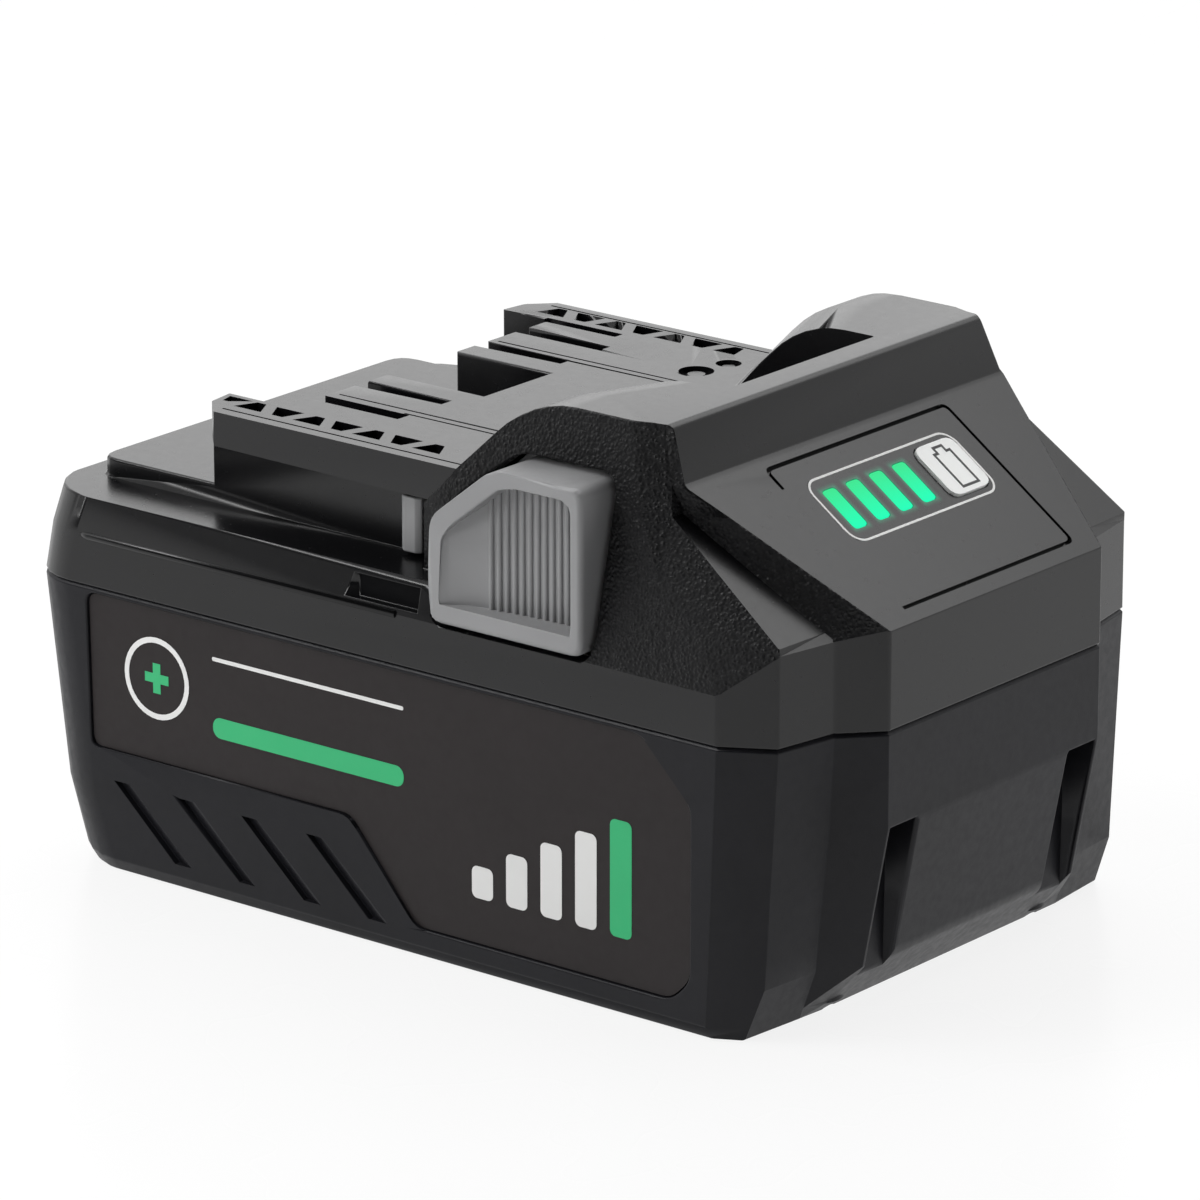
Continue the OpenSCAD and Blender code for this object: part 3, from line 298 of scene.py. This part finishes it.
def lit_window():
    """Dark window with a painted green glow round the lit bars: emission on the window itself stands for the
    bars' light.
    """
    n = material("window_dark")
    n.set(Base_Color=n.tint(n.spread(n.noise(PATCHES, 2), 0, 1), WINDOW_DARK, WINDOW_PALE))
    x, y, z = n.axes()
    down = n.calc("MULTIPLY_ADD", z, GAUGE_U.z, -GAUGE_ORIGIN.dot(GAUGE_U) - WINDOW_U * MM)
    down = n.calc("MULTIPLY_ADD", x, GAUGE_U.x, down)
    past_end = n.calc("MAXIMUM", n.calc("SUBTRACT", n.calc("ABSOLUTE", down), BAR_L / 2 * MM), 0.0)
    across = n.calc("PINGPONG", n.calc("SUBTRACT", y, BAR_V * MM), BAR_PITCH / 2 * MM)
    past_side = n.calc("MAXIMUM", n.calc("SUBTRACT", across, BAR_W / 2 * MM), 0.0)
    away = n.calc("SQRT", n.calc("ADD", n.calc("POWER", past_end, 2.0), n.calc("POWER", past_side, 2.0)))
    # Painted glow: strongest at a bar's edge, gone GLOW mm away, only beside the lit bars
    near = n.spread(away, 1, 0, 0, GLOW * MM)
    near = n.calc("MULTIPLY", n.calc("MULTIPLY", near, near), n.calc("LESS_THAN", y, GLOW_END_V * MM))
    n.set(Emission_Color=n.tint(near, UNLIT, PAINTED_GLOW_GREEN), Emission_Strength=1.0)
    n.set(Roughness=n.spread(n.noise(GLOSS_SPOTS, 4), 0.25, 0.28), Specular_IOR_Level=0.42)
    n.set(Normal=n.bump(n.noise(FINE_GRAIN, 2), 0.000002))
    return n.owner


light_green = lit_green()
window_dark = lit_window()

MATERIALS = {"label": label_film, "latch": latch_satin, "window": window_dark, "key": key_white,
             "light": light_green, "board": board_green, "steel": steel, "copper": copper, "nickel": nickel,
             "holder": holder_grey, "sleeve": sleeve_blue, "sheet": sheet_paper, "foam": foam_black,
             "chip": chip_black, "ribbon": ribbon_amber, "case": upper_smooth}

for row in frame["record"]["subparts"]:
    piece = nodes_in[row["node"]]
    piece.data.materials.clear()
    piece.data.materials.append(MATERIALS[row["material_slot"]])


# Shells with rounded edges

# Angles between faces: rounded above the first, shaded apart above the other two
SHARP = math.radians(18)
CREASE = math.radians(20)
FOLD = math.radians(6)

# Cosines between edges that meet, for edges that run on from one another
STRAIGHT = -0.94
RUNS_ON = -0.9

# Least sizes in m, and shares of a face's depth and an edge's length that a rounding may take
BROAD = 40 * MM * MM
LEAST_ROUND = 0.06 * MM
CLOSE = 0.06 * MM
FACE_SHARE = 0.42
EDGE_SHARE = 0.8
LEAST_SINE = 0.02
DEPTH_AT = (0.04, 0.25, 0.5, 0.75, 0.96)
DEEPEST = 1.0

# Rounds of trimming, and how far each goes
CROWD_TURNS = 40
CROWD_TRIM = 0.6
FAULT_TURNS = 14
FAULT_TRIM = 0.5
FAULT_NEAR = 0.6
FAULT_REACH = 1.2 * MM
TURNED_OVER = 0.2

# Looks from outside, and what can stand in their way
LOOK_STEPS = (-1, -0.4, 0, 0.4, 1)
LOOK_START = 0.15 * MM
LOOK_BEHIND = -0.2
OUTER_NODES = ("upper_case", "lower_case", "left_latch", "right_latch", "left_label", "right_label",
               "gauge_window", "gauge_key", "terminal_block", "main_board")


def joined(node):
    """A node's mesh with its split corners joined, slivers closed and flat faces whole."""
    bm = bmesh.new()
    bm.from_mesh(nodes_in[node].data)
    for gap, flat in ((1e-7, 0.5), (CLOSE, 1)):
        bmesh.ops.remove_doubles(bm, verts=bm.verts, dist=gap)
        bmesh.ops.dissolve_degenerate(bm, edges=bm.edges, dist=gap / 3)
        bmesh.ops.dissolve_limit(bm, angle_limit=math.radians(flat), verts=bm.verts, edges=bm.edges)
    bm.normal_update()
    return bm


def outside_tree():
    """All that can stand in the way of a look at the case from outside."""
    points, faces = [], []
    for node in OUTER_NODES:
        start = len(points)
        points += [v.co.copy() for v in nodes_in[node].data.vertices]
        faces += [tuple(start + i for i in p.vertices) for p in nodes_in[node].data.polygons]
    return BVHTree.FromPolygons(points, faces)


LOOKS = [Vector(way).normalized() for way in product(LOOK_STEPS, repeat=3) if max(map(abs, way)) == 1]
OUTSIDE = outside_tree()


def seen(edge):
    """Whether the edge can be seen from anywhere outside."""
    middle = (edge.verts[0].co + edge.verts[1].co) / 2
    out = sum((f.normal for f in edge.link_faces), Vector())
    start = middle + out.normalized() * LOOK_START
    return any(OUTSIDE.ray_cast(start, look)[0] is None for look in LOOKS if look.dot(out) > LOOK_BEHIND)


def along(e, v):
    return (e.other_vert(v).co - v.co).normalized()


def chains(edges):
    """Groups of edges that run on from one another."""
    rows, done = [], set()
    for first in edges:
        if first in done:
            continue
        row, todo = [], [first]
        done.add(first)
        while todo:
            e = todo.pop()
            row.append(e)
            for v in e.verts:
                turns = [(along(x, v).dot(along(e, v)), x.index, x) for x in v.link_edges
                         if x is not e and x in edges]
                if turns and min(turns)[0] < RUNS_ON and min(turns)[2] not in done:
                    done.add(min(turns)[2])
                    todo.append(min(turns)[2])
        rows.append(row)
    return rows


def run_on(want):
    """A rounding never stops part way along a straight run."""
    todo = list(want)
    while todo:
        e = todo.pop()
        for v in e.verts:
            on = [x for x in v.link_edges if x is not e and along(x, v).dot(along(e, v)) < STRAIGHT]
            if not any(x in want for x in on):
                for x in on:
                    want[x] = want[e]
                    todo.append(x)


def depth(e, f):
    """How far a face reaches inwards from one of its edges."""
    loop = next(l for l in f.loops if l.edge is e)
    at = loop.vert.co
    way = (loop.link_loop_next.vert.co - at).normalized()
    inward = f.normal.cross(way)
    least = DEEPEST
    for other in f.loops:
        if other is loop:
            continue
        p, q = other.vert.co - at, other.link_loop_next.vert.co - at
        px, py, qx, qy = p.dot(way), p.dot(inward), q.dot(way), q.dot(inward)
        for t in DEPTH_AT:
            x = t * e.calc_length()
            if (px - x) * (qx - x) < 0:
                y = py + (qy - py) * (x - px) / (qx - px)
                if y > 1e-6:
                    least = min(least, y)
    return least


def crowding(bm, want):
    """For each rounded edge, the share of its width that its neighbours leave room for."""
    need = {}
    for f in bm.faces:
        for loop in f.loops:
            a, b = loop.link_loop_prev.edge, loop.edge
            wa, wb = want.get(a, 0), want.get(b, 0)
            if not wa and not wb:
                continue
            angle = loop.calc_angle()
            s, c = max(math.sin(angle), LEAST_SINE), math.cos(angle)
            if wa and wb:
                sign = 1 if loop.is_convex else -1
                taken = ((a, sign * (wb + wa * c) / s), (b, sign * (wa + wb * c) / s))
            else:
                taken = ((b, wa / s),) if wa else ((a, wb / s),)
            for e, length in taken:
                if length > 0:
                    need.setdefault((e, f), []).append((length, [x for x in (a, b) if x in want]))
    left = {}
    for (e, f), rows in need.items():
        share = EDGE_SHARE * e.calc_length() / sum(length for length, causes in rows)
        if share < 1:
            for length, causes in rows:
                for x in causes:
                    left[x] = min(left.get(x, 1), share)
    return left


def shaded_smooth(e):
    """Whether the shading runs on over an edge: not over a sharp one, nor over a fold of two broad faces."""
    angle = e.calc_face_angle(0)
    return angle < (FOLD if min(f.calc_area() for f in e.link_faces) > BROAD else CREASE)


def bevelled(bm, want, layer, segments):
    """The mesh with its chosen edges rounded to their own widths."""
    widest = max(want.values())
    for e in bm.edges:
        e[layer] = min(want.get(e, 0) / widest, 1)
        e.smooth = e in want or shaded_smooth(e)
    mesh = bpy.data.meshes.new("rounding")
    bm.to_mesh(mesh)
    obj = link(bpy.data.objects.new("rounding", mesh))
    bevel = obj.modifiers.new("round", "BEVEL")
    bevel.width = widest
    bevel.segments = segments
    bevel.limit_method = "WEIGHT"
    bevel.use_clamp_overlap = False
    result = bpy.data.meshes.new_from_object(obj.evaluated_get(bpy.context.evaluated_depsgraph_get()))
    bpy.data.objects.remove(obj)
    return result


def smooth_fans(v):
    """Groups of faces round a corner that are joined over smooth edges."""
    left = list(v.link_faces)
    while left:
        group, todo = [], [left.pop()]
        while todo:
            f = todo.pop()
            group.append(f)
            for e in f.edges:
                if v in e.verts and e.smooth:
                    for g in e.link_faces:
                        if g in left:
                            left.remove(g)
                            todo.append(g)
        yield group


def settle_normals(mesh):
    """Corner normals that follow the broad faces, so that flat faces look flat up to their roundings."""
    bm = bmesh.new()
    bm.from_mesh(mesh)
    place = {loop: i for i, loop in enumerate(loop for f in bm.faces for loop in f.loops)}
    weight = {f: (f.calc_area() / MM / MM) ** 2 for f in bm.faces}
    normals = [None] * len(place)
    for v in bm.verts:
        for group in smooth_fans(v):
            total = sum((f.normal * weight[f] for f in group), Vector())
            for loop in v.link_loops:
                if loop.face in group:
                    normals[place[loop]] = total.normalized() if total.length else loop.face.normal
    bm.free()
    mesh.normals_split_custom_set(normals)


def faults(mesh, base, near):
    """Places where the rounded mesh leaves the old surface or turns over."""
    mesh.calc_loop_triangles()
    spots = []
    for t in mesh.loop_triangles:
        if t.area > 1e-12:
            middle = sum((mesh.vertices[i].co for i in t.vertices), Vector()) / 3
            hits = base.find_nearest_range(middle, near)
            if not hits or max(h[1].dot(t.normal) for h in hits) < TURNED_OVER:
                spots.append(middle)
    return spots


def trimmed(want, e, factor):
    """Narrows one rounding, and drops it once it is too small to show."""
    want[e] *= factor
    if want[e] < LEAST_ROUND:
        del want[e]


def rounded(node, name, width_of, segments=3):
    """A copy of the node whose outer edges are rounded, each as far as its faces have room."""
    bm = joined(node)
    layer = bm.edges.layers.float.new("bevel_weight_edge")
    bm.edges.index_update()
    edges = {e: 0 for e in bm.edges if len(e.link_faces) == 2 and e.calc_face_angle(0) > SHARP and seen(e)}
    want = {}
    for row in chains(edges):
        length = sum(e.calc_length() for e in row)
        area = sum(e.calc_length() * min(f.calc_area() for f in e.link_faces) for e in row) / length
        width = width_of(row[0].verts[0].co / MM, length / MM, area / MM / MM)
        if width:
            want.update((e, width * MM) for e in row)
    run_on(want)
    for e in list(want):
        trimmed(want, e, min([1] + [FACE_SHARE * depth(e, f) / want[e] for f in e.link_faces]))
    for turn in range(CROWD_TURNS):
        left = crowding(bm, want)
        if not left:
            break
        for e, share in left.items():
            trimmed(want, e, max(share, CROWD_TRIM))
    for f in bm.faces:
        f.smooth = True
    base = BVHTree.FromBMesh(bm)
    for turn in range(FAULT_TURNS):
        mesh = bevelled(bm, want, layer, segments)
        spots = faults(mesh, base, FAULT_NEAR * max(want.values()))
        shrunk = 0
        for e in list(want):
            a, run = e.verts[0].co, e.verts[1].co - e.verts[0].co
            reach = max(FAULT_REACH, 2 * want[e])
            if any((a + run * max(0, min(1, (p - a).dot(run) / run.length_squared)) - p).length < reach
                   for p in spots):
                trimmed(want, e, FAULT_TRIM)
                shrunk += 1
        if not shrunk:
            break
    bm.free()
    settle_normals(mesh)
    mesh.name = name
    return link(bpy.data.objects.new(name, mesh))


# Radii of the roundings, in mm
SPLIT_ROUND = 0.12
DECK_ROUND = 0.35
LOWER_ROUND = 1.0
HOOD_ROUND = 1.7
EDGE_ROUND = 0.4
SHORT_ROUND = 0.2
BUTTON_ROUND = 0.8
BUTTON_SHORT_ROUND = 0.25

# Lengths of a run and areas beside it, in mm and square mm, from which it takes a radius
LONG_RUN = 12
MIDDLE_RUN = 5
SHORT_RUN = 2
BUTTON_RUN = 8
LARGE_FACE = 40
SMALL_FACE = 4
BUTTON_FACE = 15
NEAR = 0.5


def case_width(at, length, area):
    """Radius of the rounding, in mm, for a run of edges of the two case halves."""
    if abs(at.z - SPLIT_Z) < NEAR:
        return SPLIT_ROUND
    on_slope = at * MM - GAUGE_ORIGIN
    if abs(on_slope.dot(GAUGE_U) / MM - WINDOW_U) < WINDOW_HALF_U and abs(at.y) < WINDOW_HALF_V:
        return 0
    if at.x < DECK_END_X and at.z > DECK_Z - NEAR:
        return DECK_ROUND if length > LONG_RUN else 0
    if length > LONG_RUN and area > LARGE_FACE:
        if at.z < SPLIT_Z:
            return LOWER_ROUND
        return HOOD_ROUND if at.x > DECK_END_X else EDGE_ROUND
    if length > MIDDLE_RUN and area > SMALL_FACE:
        return EDGE_ROUND
    return SHORT_ROUND if length > SHORT_RUN else 0


def latch_width(at, length, area):
    """Radius of the rounding, in mm, for a run of edges of a latch."""
    if length > BUTTON_RUN and area > BUTTON_FACE:
        return BUTTON_ROUND
    return BUTTON_SHORT_ROUND if length > SHORT_RUN else 0


def paint(obj, materials, choose=lambda c, n: 0):
    for mat in materials:
        obj.data.materials.append(mat)
    for poly in obj.data.polygons:
        poly.material_index = choose(poly.center / MM, poly.normal)


# Zones of the upper shell, in the order of its materials, and their limits in mm
SATIN, GRAINED, POCKET_MATT_SHADE = range(3)
FLANK_X = HOOD_X - 0.5
FLANK_Y = 22
FLANK_RISE = 0.4
FLANK_LEAN = 0.12
POCKET_X = (HOOD_X - 7, HOOD_X + 2.7)
POCKET_Z = (SHOULDER_Z + 0.6, LEDGE_Z - 0.9)
BAND_Y = 10
BAND_Z = SHOULDER_Z + 10
BAND_LEAN = 0.3


def upper_zone(c, n):
    """Grained round the buttons, on the corner facets and at the hood's near edges; in the pockets
    before the buttons a matt copy of the case plastic, its gloss cut low as painted shade;
    satin elsewhere."""
    grain_z = LEDGE_Z if c.x < BUTTON_X else SHOULDER_Z
    if c.x > FLANK_X and c.z > grain_z + FLANK_RISE and abs(n.y) > FLANK_LEAN and abs(c.y) > FLANK_Y:
        return GRAINED
    # Pockets: the darker low-gloss copy, as painted shade
    if POCKET_X[0] < c.x < POCKET_X[1] and POCKET_Z[0] < c.z < POCKET_Z[1] and abs(c.y) < POCKET_Y:
        return POCKET_MATT_SHADE
    if BAND_X < c.x < SLOPE_X and c.z > BAND_Z and n.x > BAND_LEAN and abs(c.y) > BAND_Y:
        return GRAINED
    return SATIN


upper = rounded("upper_case", "upper_shell", case_width)
paint(upper, (upper_smooth, upper_grain, pocket_matt_painted_shade), upper_zone)
lower = rounded("lower_case", "lower_shell", case_width)
paint(lower, (lower_satin,))
for shell, node in ((upper, "upper_case"), (lower, "lower_case")):
    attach(shell, "pack")
    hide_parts(node)
for side in ("left", "right"):
    node = side + "_latch"
    button = rounded(node, side + "_latch_button", latch_width)
    paint(button, (latch_satin,))
    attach(button, node)
    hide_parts(node)


# Fine bead along the fold of each side

BEAD_R = 0.5
BEAD_PROUD = 0.3
BEAD_SUNK = -0.15
BEAD_X0 = TAIL_X + 9.5
BEAD_X1 = HOOD_X - 0.6
BEAD_TAPER = 2.0
BEAD_SIDES = 20


def bead(name, side):
    """A low half-round bead that rises out of the side at its tail end."""
    bm = bmesh.new()
    turns = [2 * math.pi * i / BEAD_SIDES for i in range(BEAD_SIDES)]
    rings = []
    for x, proud in ((BEAD_X0, BEAD_SUNK), (BEAD_X0 + BEAD_TAPER, BEAD_PROUD), (BEAD_X1, BEAD_PROUD)):
        centre_y = SIDE_Y + proud - BEAD_R
        rings.append([bm.verts.new(Vector((x, side * (centre_y + BEAD_R * math.cos(a)),
                                           SHOULDER_Z + BEAD_R * math.sin(a))) * MM) for a in turns])
    for low, high in zip(rings, rings[1:]):
        for i in range(BEAD_SIDES):
            j = (i + 1) % BEAD_SIDES
            bm.faces.new((low[i], low[j], high[j], high[i])).smooth = True
    bm.faces.new(rings[0])
    bm.faces.new(rings[-1])
    bmesh.ops.recalc_face_normals(bm, faces=bm.faces)
    obj = mesh_object(name, bm)
    obj.data.materials.append(upper_smooth)
    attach(obj, "pack")


bead("left_bead", -1)
bead("right_bead", 1)


# Printed marks, as thin raised film

FILM_SUNK = 0.02
FILM_PROUD = 0.03


def gauge_point(u, v, w):
    return GAUGE_ORIGIN + (GAUGE_U * u + Vector((0, v, 0)) + GAUGE_W * w) * MM


def round_rect(w, h, r, steps=6):
    """Outline of a rounded rectangle about the origin, anticlockwise."""
    points = []
    for cx, cy, start in ((w / 2 - r, h / 2 - r, 0), (-w / 2 + r, h / 2 - r, 90),
                          (-w / 2 + r, -h / 2 + r, 180), (w / 2 - r, -h / 2 + r, 270)):
        for i in range(steps + 1):
            a = math.radians(start + 90 * i / steps)
            points.append((cx + r * math.cos(a), cy + r * math.sin(a)))
    return points


def inset(points, d):
    """The same closed outline moved inwards by d."""
    out = []
    count = len(points)
    for i, p in enumerate(points):
        a, b = Vector(points[i - 1]), Vector(points[(i + 1) % count])
        p = Vector(p)
        d1, d2 = (p - a).normalized(), (b - p).normalized()
        n1, n2 = Vector((-d1.y, d1.x)), Vector((-d2.y, d2.x))
        n = (n1 + n2).normalized()
        out.append(tuple(p + n * d / max(n.dot(n1), 0.3)))
    return out


def film(name, shapes, at, low, high, mat, body):
    """Thin raised print: each shape is an outline, or an outer and an inner outline for a ring."""
    bm = bmesh.new()
    for outer, inner in shapes:
        count = len(outer)
        if inner is None:
            top = [bm.verts.new(at(x, y, high)) for x, y in outer]
            bottom = [bm.verts.new(at(x, y, low)) for x, y in outer]
            bm.faces.new(top)
            bm.faces.new(bottom[::-1])
            for i in range(count):
                j = (i + 1) % count
                bm.faces.new((bottom[i], bottom[j], top[j], top[i]))
            continue
        rings = [[bm.verts.new(at(x, y, h)) for x, y in pts] for pts, h in
                 ((outer, low), (outer, high), (inner, high), (inner, low))]
        for k in range(4):
            a, b = rings[k], rings[(k + 1) % 4]
            for i in range(count):
                j = (i + 1) % count
                bm.faces.new((a[i], a[j], b[j], b[i]))
    bmesh.ops.recalc_face_normals(bm, faces=bm.faces)
    obj = mesh_object(name, bm)
    obj.data.materials.append(mat)
    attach(obj, body)
    return obj


def top_of(node):
    """Height of a gauge node's outer face above the gauge frame's origin, in mm."""
    return max((v.co - GAUGE_ORIGIN).dot(GAUGE_W) for v in nodes_in[node].data.vertices) / MM


# White line round the window and the key
OUTLINE_V = 28.15
OUTLINE_U = 10.1
OUTLINE_R = 2.2
OUTLINE_LINE = 0.3

window_top = top_of("gauge_window")
outline = [(WINDOW_U + u, v) for v, u in round_rect(OUTLINE_V, OUTLINE_U, OUTLINE_R)][::-1]
film("gauge_outline", [(outline, inset(outline, OUTLINE_LINE))], gauge_point, window_top - FILM_SUNK,
     window_top + FILM_PROUD, print_white, "pack")

# Battery sign on the key: half widths and heights of its body and its end cap
SIGN_HALF = 1.35
SIGN_CAP_HALF = 0.65
SIGN_REACH = 2.9
SIGN_NECK = 2.0
SIGN_SHIFT = 0.3
SIGN_LINE = 0.36
SIGN_PROUD = 0.02

key_top = top_of("gauge_key")
sign = [(-SIGN_HALF, -SIGN_REACH), (SIGN_HALF, -SIGN_REACH), (SIGN_HALF, SIGN_NECK),
        (SIGN_CAP_HALF, SIGN_NECK), (SIGN_CAP_HALF, SIGN_REACH), (-SIGN_CAP_HALF, SIGN_REACH),
        (-SIGN_CAP_HALF, SIGN_NECK), (-SIGN_HALF, SIGN_NECK)]
sign_at = [(WINDOW_U - y, KEY_V + SIGN_SHIFT + x) for x, y in sign]
film("battery_sign", [(sign_at, inset(sign_at, -SIGN_LINE))], gauge_point, key_top - FILM_SUNK,
     key_top + SIGN_PROUD, chip_black, "gauge_key")

# Print on the labels: places along and up the label, and sizes, in mm
RISE_X = 13
RISE_Z = 9.5
RISE_PITCH = 5.2
RISE_W = 3.2
RISE_H = 4
RISE_STEP = 2.6
RISE_R = 0.8
BADGE_X = -38
BADGE_Z = 26.2
BADGE_R = 5.2
BADGE_INNER_R = 4.5
PLUS_REACH = 1.9
PLUS_HALF = 0.6
STRIPE_X = -14
STRIPE_L = 30
STRIPE_Z = 22.0
STRIPE_H = 2.6
STRIPE_R = 1.2
RULE_Z = 30.6
RULE_H = 0.5
RULE_R = 0.2


def label_face(side):
    """Maps the label's length and height to its outer face on one side."""
    return lambda x, z, h: Vector((x, side * (LABEL_Y + h), z)) * MM


def bar(x, z, w, h, r):
    return [(x + a, z + b) for a, b in round_rect(w, h, r)]


def ring(x, z, r, steps=40):
    return [(x + r * math.cos(2 * math.pi * i / steps), z + r * math.sin(2 * math.pi * i / steps))
            for i in range(steps)]


def plus(x, z, reach, half):
    points = [(-reach, -half), (-half, -half), (-half, -reach)]
    for quarter in range(3):
        points += [(-b, a) for a, b in points[-3:]]
    return [(x + a, z + b) for a, b in points]


def rise(i):
    height = RISE_H + RISE_STEP * i
    return bar(RISE_X + RISE_PITCH * i, RISE_Z + height / 2, RISE_W, height, RISE_R)


white_marks = [(rise(i), None) for i in range(4)]
white_marks.append((ring(BADGE_X, BADGE_Z, BADGE_R), ring(BADGE_X, BADGE_Z, BADGE_INNER_R)))
white_marks.append((bar(STRIPE_X, RULE_Z, STRIPE_L, RULE_H, RULE_R), None))
green_marks = [(rise(4), None), (bar(STRIPE_X, STRIPE_Z, STRIPE_L, STRIPE_H, STRIPE_R), None),
               (plus(BADGE_X, BADGE_Z, PLUS_REACH, PLUS_HALF), None)]
for side, sign_y in (("left", -1), ("right", 1)):
    face = label_face(sign_y)
    film(side + "_label_print_white", white_marks, face, -FILM_SUNK, FILM_PROUD, print_white, "pack")
    film(side + "_label_print_green", green_marks, face, -FILM_SUNK, FILM_PROUD, print_green, "pack")


# Springs, as smooth-shaded copies of the spring parts

for side, joint in (("left", "left_latch_slide"), ("right", "right_latch_slide")):
    node = side + "_latch_spring"
    low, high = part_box(node)
    coil = link(bpy.data.objects.new(side + "_return_spring", nodes_in[node].data.copy()))
    for poly in coil.data.polygons:
        poly.use_smooth = True
    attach(coil, "pack")
    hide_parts(node)
    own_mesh(coil)


# Studio

CAMERA_AZ = math.radians(38.858)
CAMERA_EL = math.radians(17.784)
CAMERA_AIM = Vector((0.807, 0, 34.708)) * MM
CAMERA_FAR = 0.9399
CAMERA_LENS = 233.16
CAMERA_SENSOR = 36

back = Vector((math.sin(CAMERA_AZ) * math.cos(CAMERA_EL), -math.cos(CAMERA_AZ) * math.cos(CAMERA_EL),
               math.sin(CAMERA_EL)))
camera_data = bpy.data.cameras.new("camera")
camera_data.lens = CAMERA_LENS
camera_data.sensor_width = CAMERA_SENSOR
camera = link(bpy.data.objects.new("camera", camera_data))
camera.location = CAMERA_AIM + back * CAMERA_FAR
camera.rotation_euler = (-back).to_track_quat("-Z", "Y").to_euler()
scene.camera = camera

# Lamps: name, place, aim, size, watts, and whether glossy faces mirror the lamp
LAMPS = (
    ("top_box", (-0.1, 0.4, 0.9), (0, 0, 0.05), (1.0, 0.8), 5, True),
    ("back_box", (-0.75, 0.95, 0.42), (0, 0, 0.05), (1.0, 0.5), 1.2, True),
    ("front_box", (-0.45, -0.36, 0.72), (0, -0.02, 0.04), (0.3, 0.3), 3.2, True),
    ("left_box", (-0.24, -0.42, 0.26), (-0.03, -0.03, 0.03), (0.25, 0.25), 1.1, False),
    ("right_box", (0.42, 0.26, 0.16), (0.06, 0.01, 0.03), (0.25, 0.25), 0.7, False),
)


def softbox(name, at, aim, size, watts, mirrored):
    data = bpy.data.lights.new(name, "AREA")
    data.shape = "RECTANGLE"
    data.size, data.size_y = size
    data.energy = watts
    lamp = link(bpy.data.objects.new(name, data))
    lamp.location = at
    lamp.rotation_euler = (Vector(aim) - Vector(at)).to_track_quat("-Z", "Y").to_euler()
    lamp.visible_camera = False
    lamp.visible_glossy = mirrored


for row in LAMPS:
    softbox(*row)

# Floor, and the share of plain white in it as seen
FLOOR_HALF = 6.0
FLOOR_CELLS = 24
FLOOR_Z = -0.00005
FLOOR_SHARE = 0.85

floor_bm = bmesh.new()
bmesh.ops.create_grid(floor_bm, x_segments=FLOOR_CELLS, y_segments=FLOOR_CELLS, size=FLOOR_HALF)
floor = mesh_object("floor", floor_bm)
floor.location.z = FLOOR_Z
paper = material("floor_white")
paper.set(Base_Color=paper.tint(paper.spread(paper.noise(4, 2), 0, 1), FLOOR_DARK, FLOOR_PALE))
paper.set(Roughness=paper.spread(paper.noise(30, 2), 0.25, 0.3))
paper.blend(paper.calc("MULTIPLY", paper.background_rays(), FLOOR_SHARE), paper.shader.outputs[0],
            paper.made("ShaderNodeEmission", 0, {"Strength": 1.0}), "Material Output")
floor.data.materials.append(paper.owner)

# Room light: dim on the viewer's side, bright behind the object, between these cosines
ROOM_DIM = 0.06
ROOM_BRIGHT = 0.7
BACKDROP_START = 0.3
BACKDROP_END = -0.35

scene.world = bpy.data.worlds.new("studio")
room = Nodes(scene.world, "Generated")
facing = room.made("ShaderNodeVectorMath", "Value", {0: room.place, 1: back}, operation="DOT_PRODUCT")
backdrop = room.spread(facing, 0, 1, BACKDROP_START, BACKDROP_END, "SMOOTHSTEP")
sky = room.tree.nodes["Background"]
sky.inputs["Color"].default_value = PLAIN_WHITE
room.join(room.spread(backdrop, ROOM_DIM, ROOM_BRIGHT, 0, 1), sky.inputs["Strength"])
plain = room.made("ShaderNodeBackground", 0, {"Color": PLAIN_WHITE, "Strength": 1.0})
to_camera = room.add("ShaderNodeLightPath").outputs["Is Camera Ray"]
shown = room.calc("MAXIMUM", to_camera, room.calc("MULTIPLY", room.background_rays(), backdrop))
room.blend(shown, sky.outputs[0], plain, "World Output")

scene.view_settings.view_transform = "Standard"
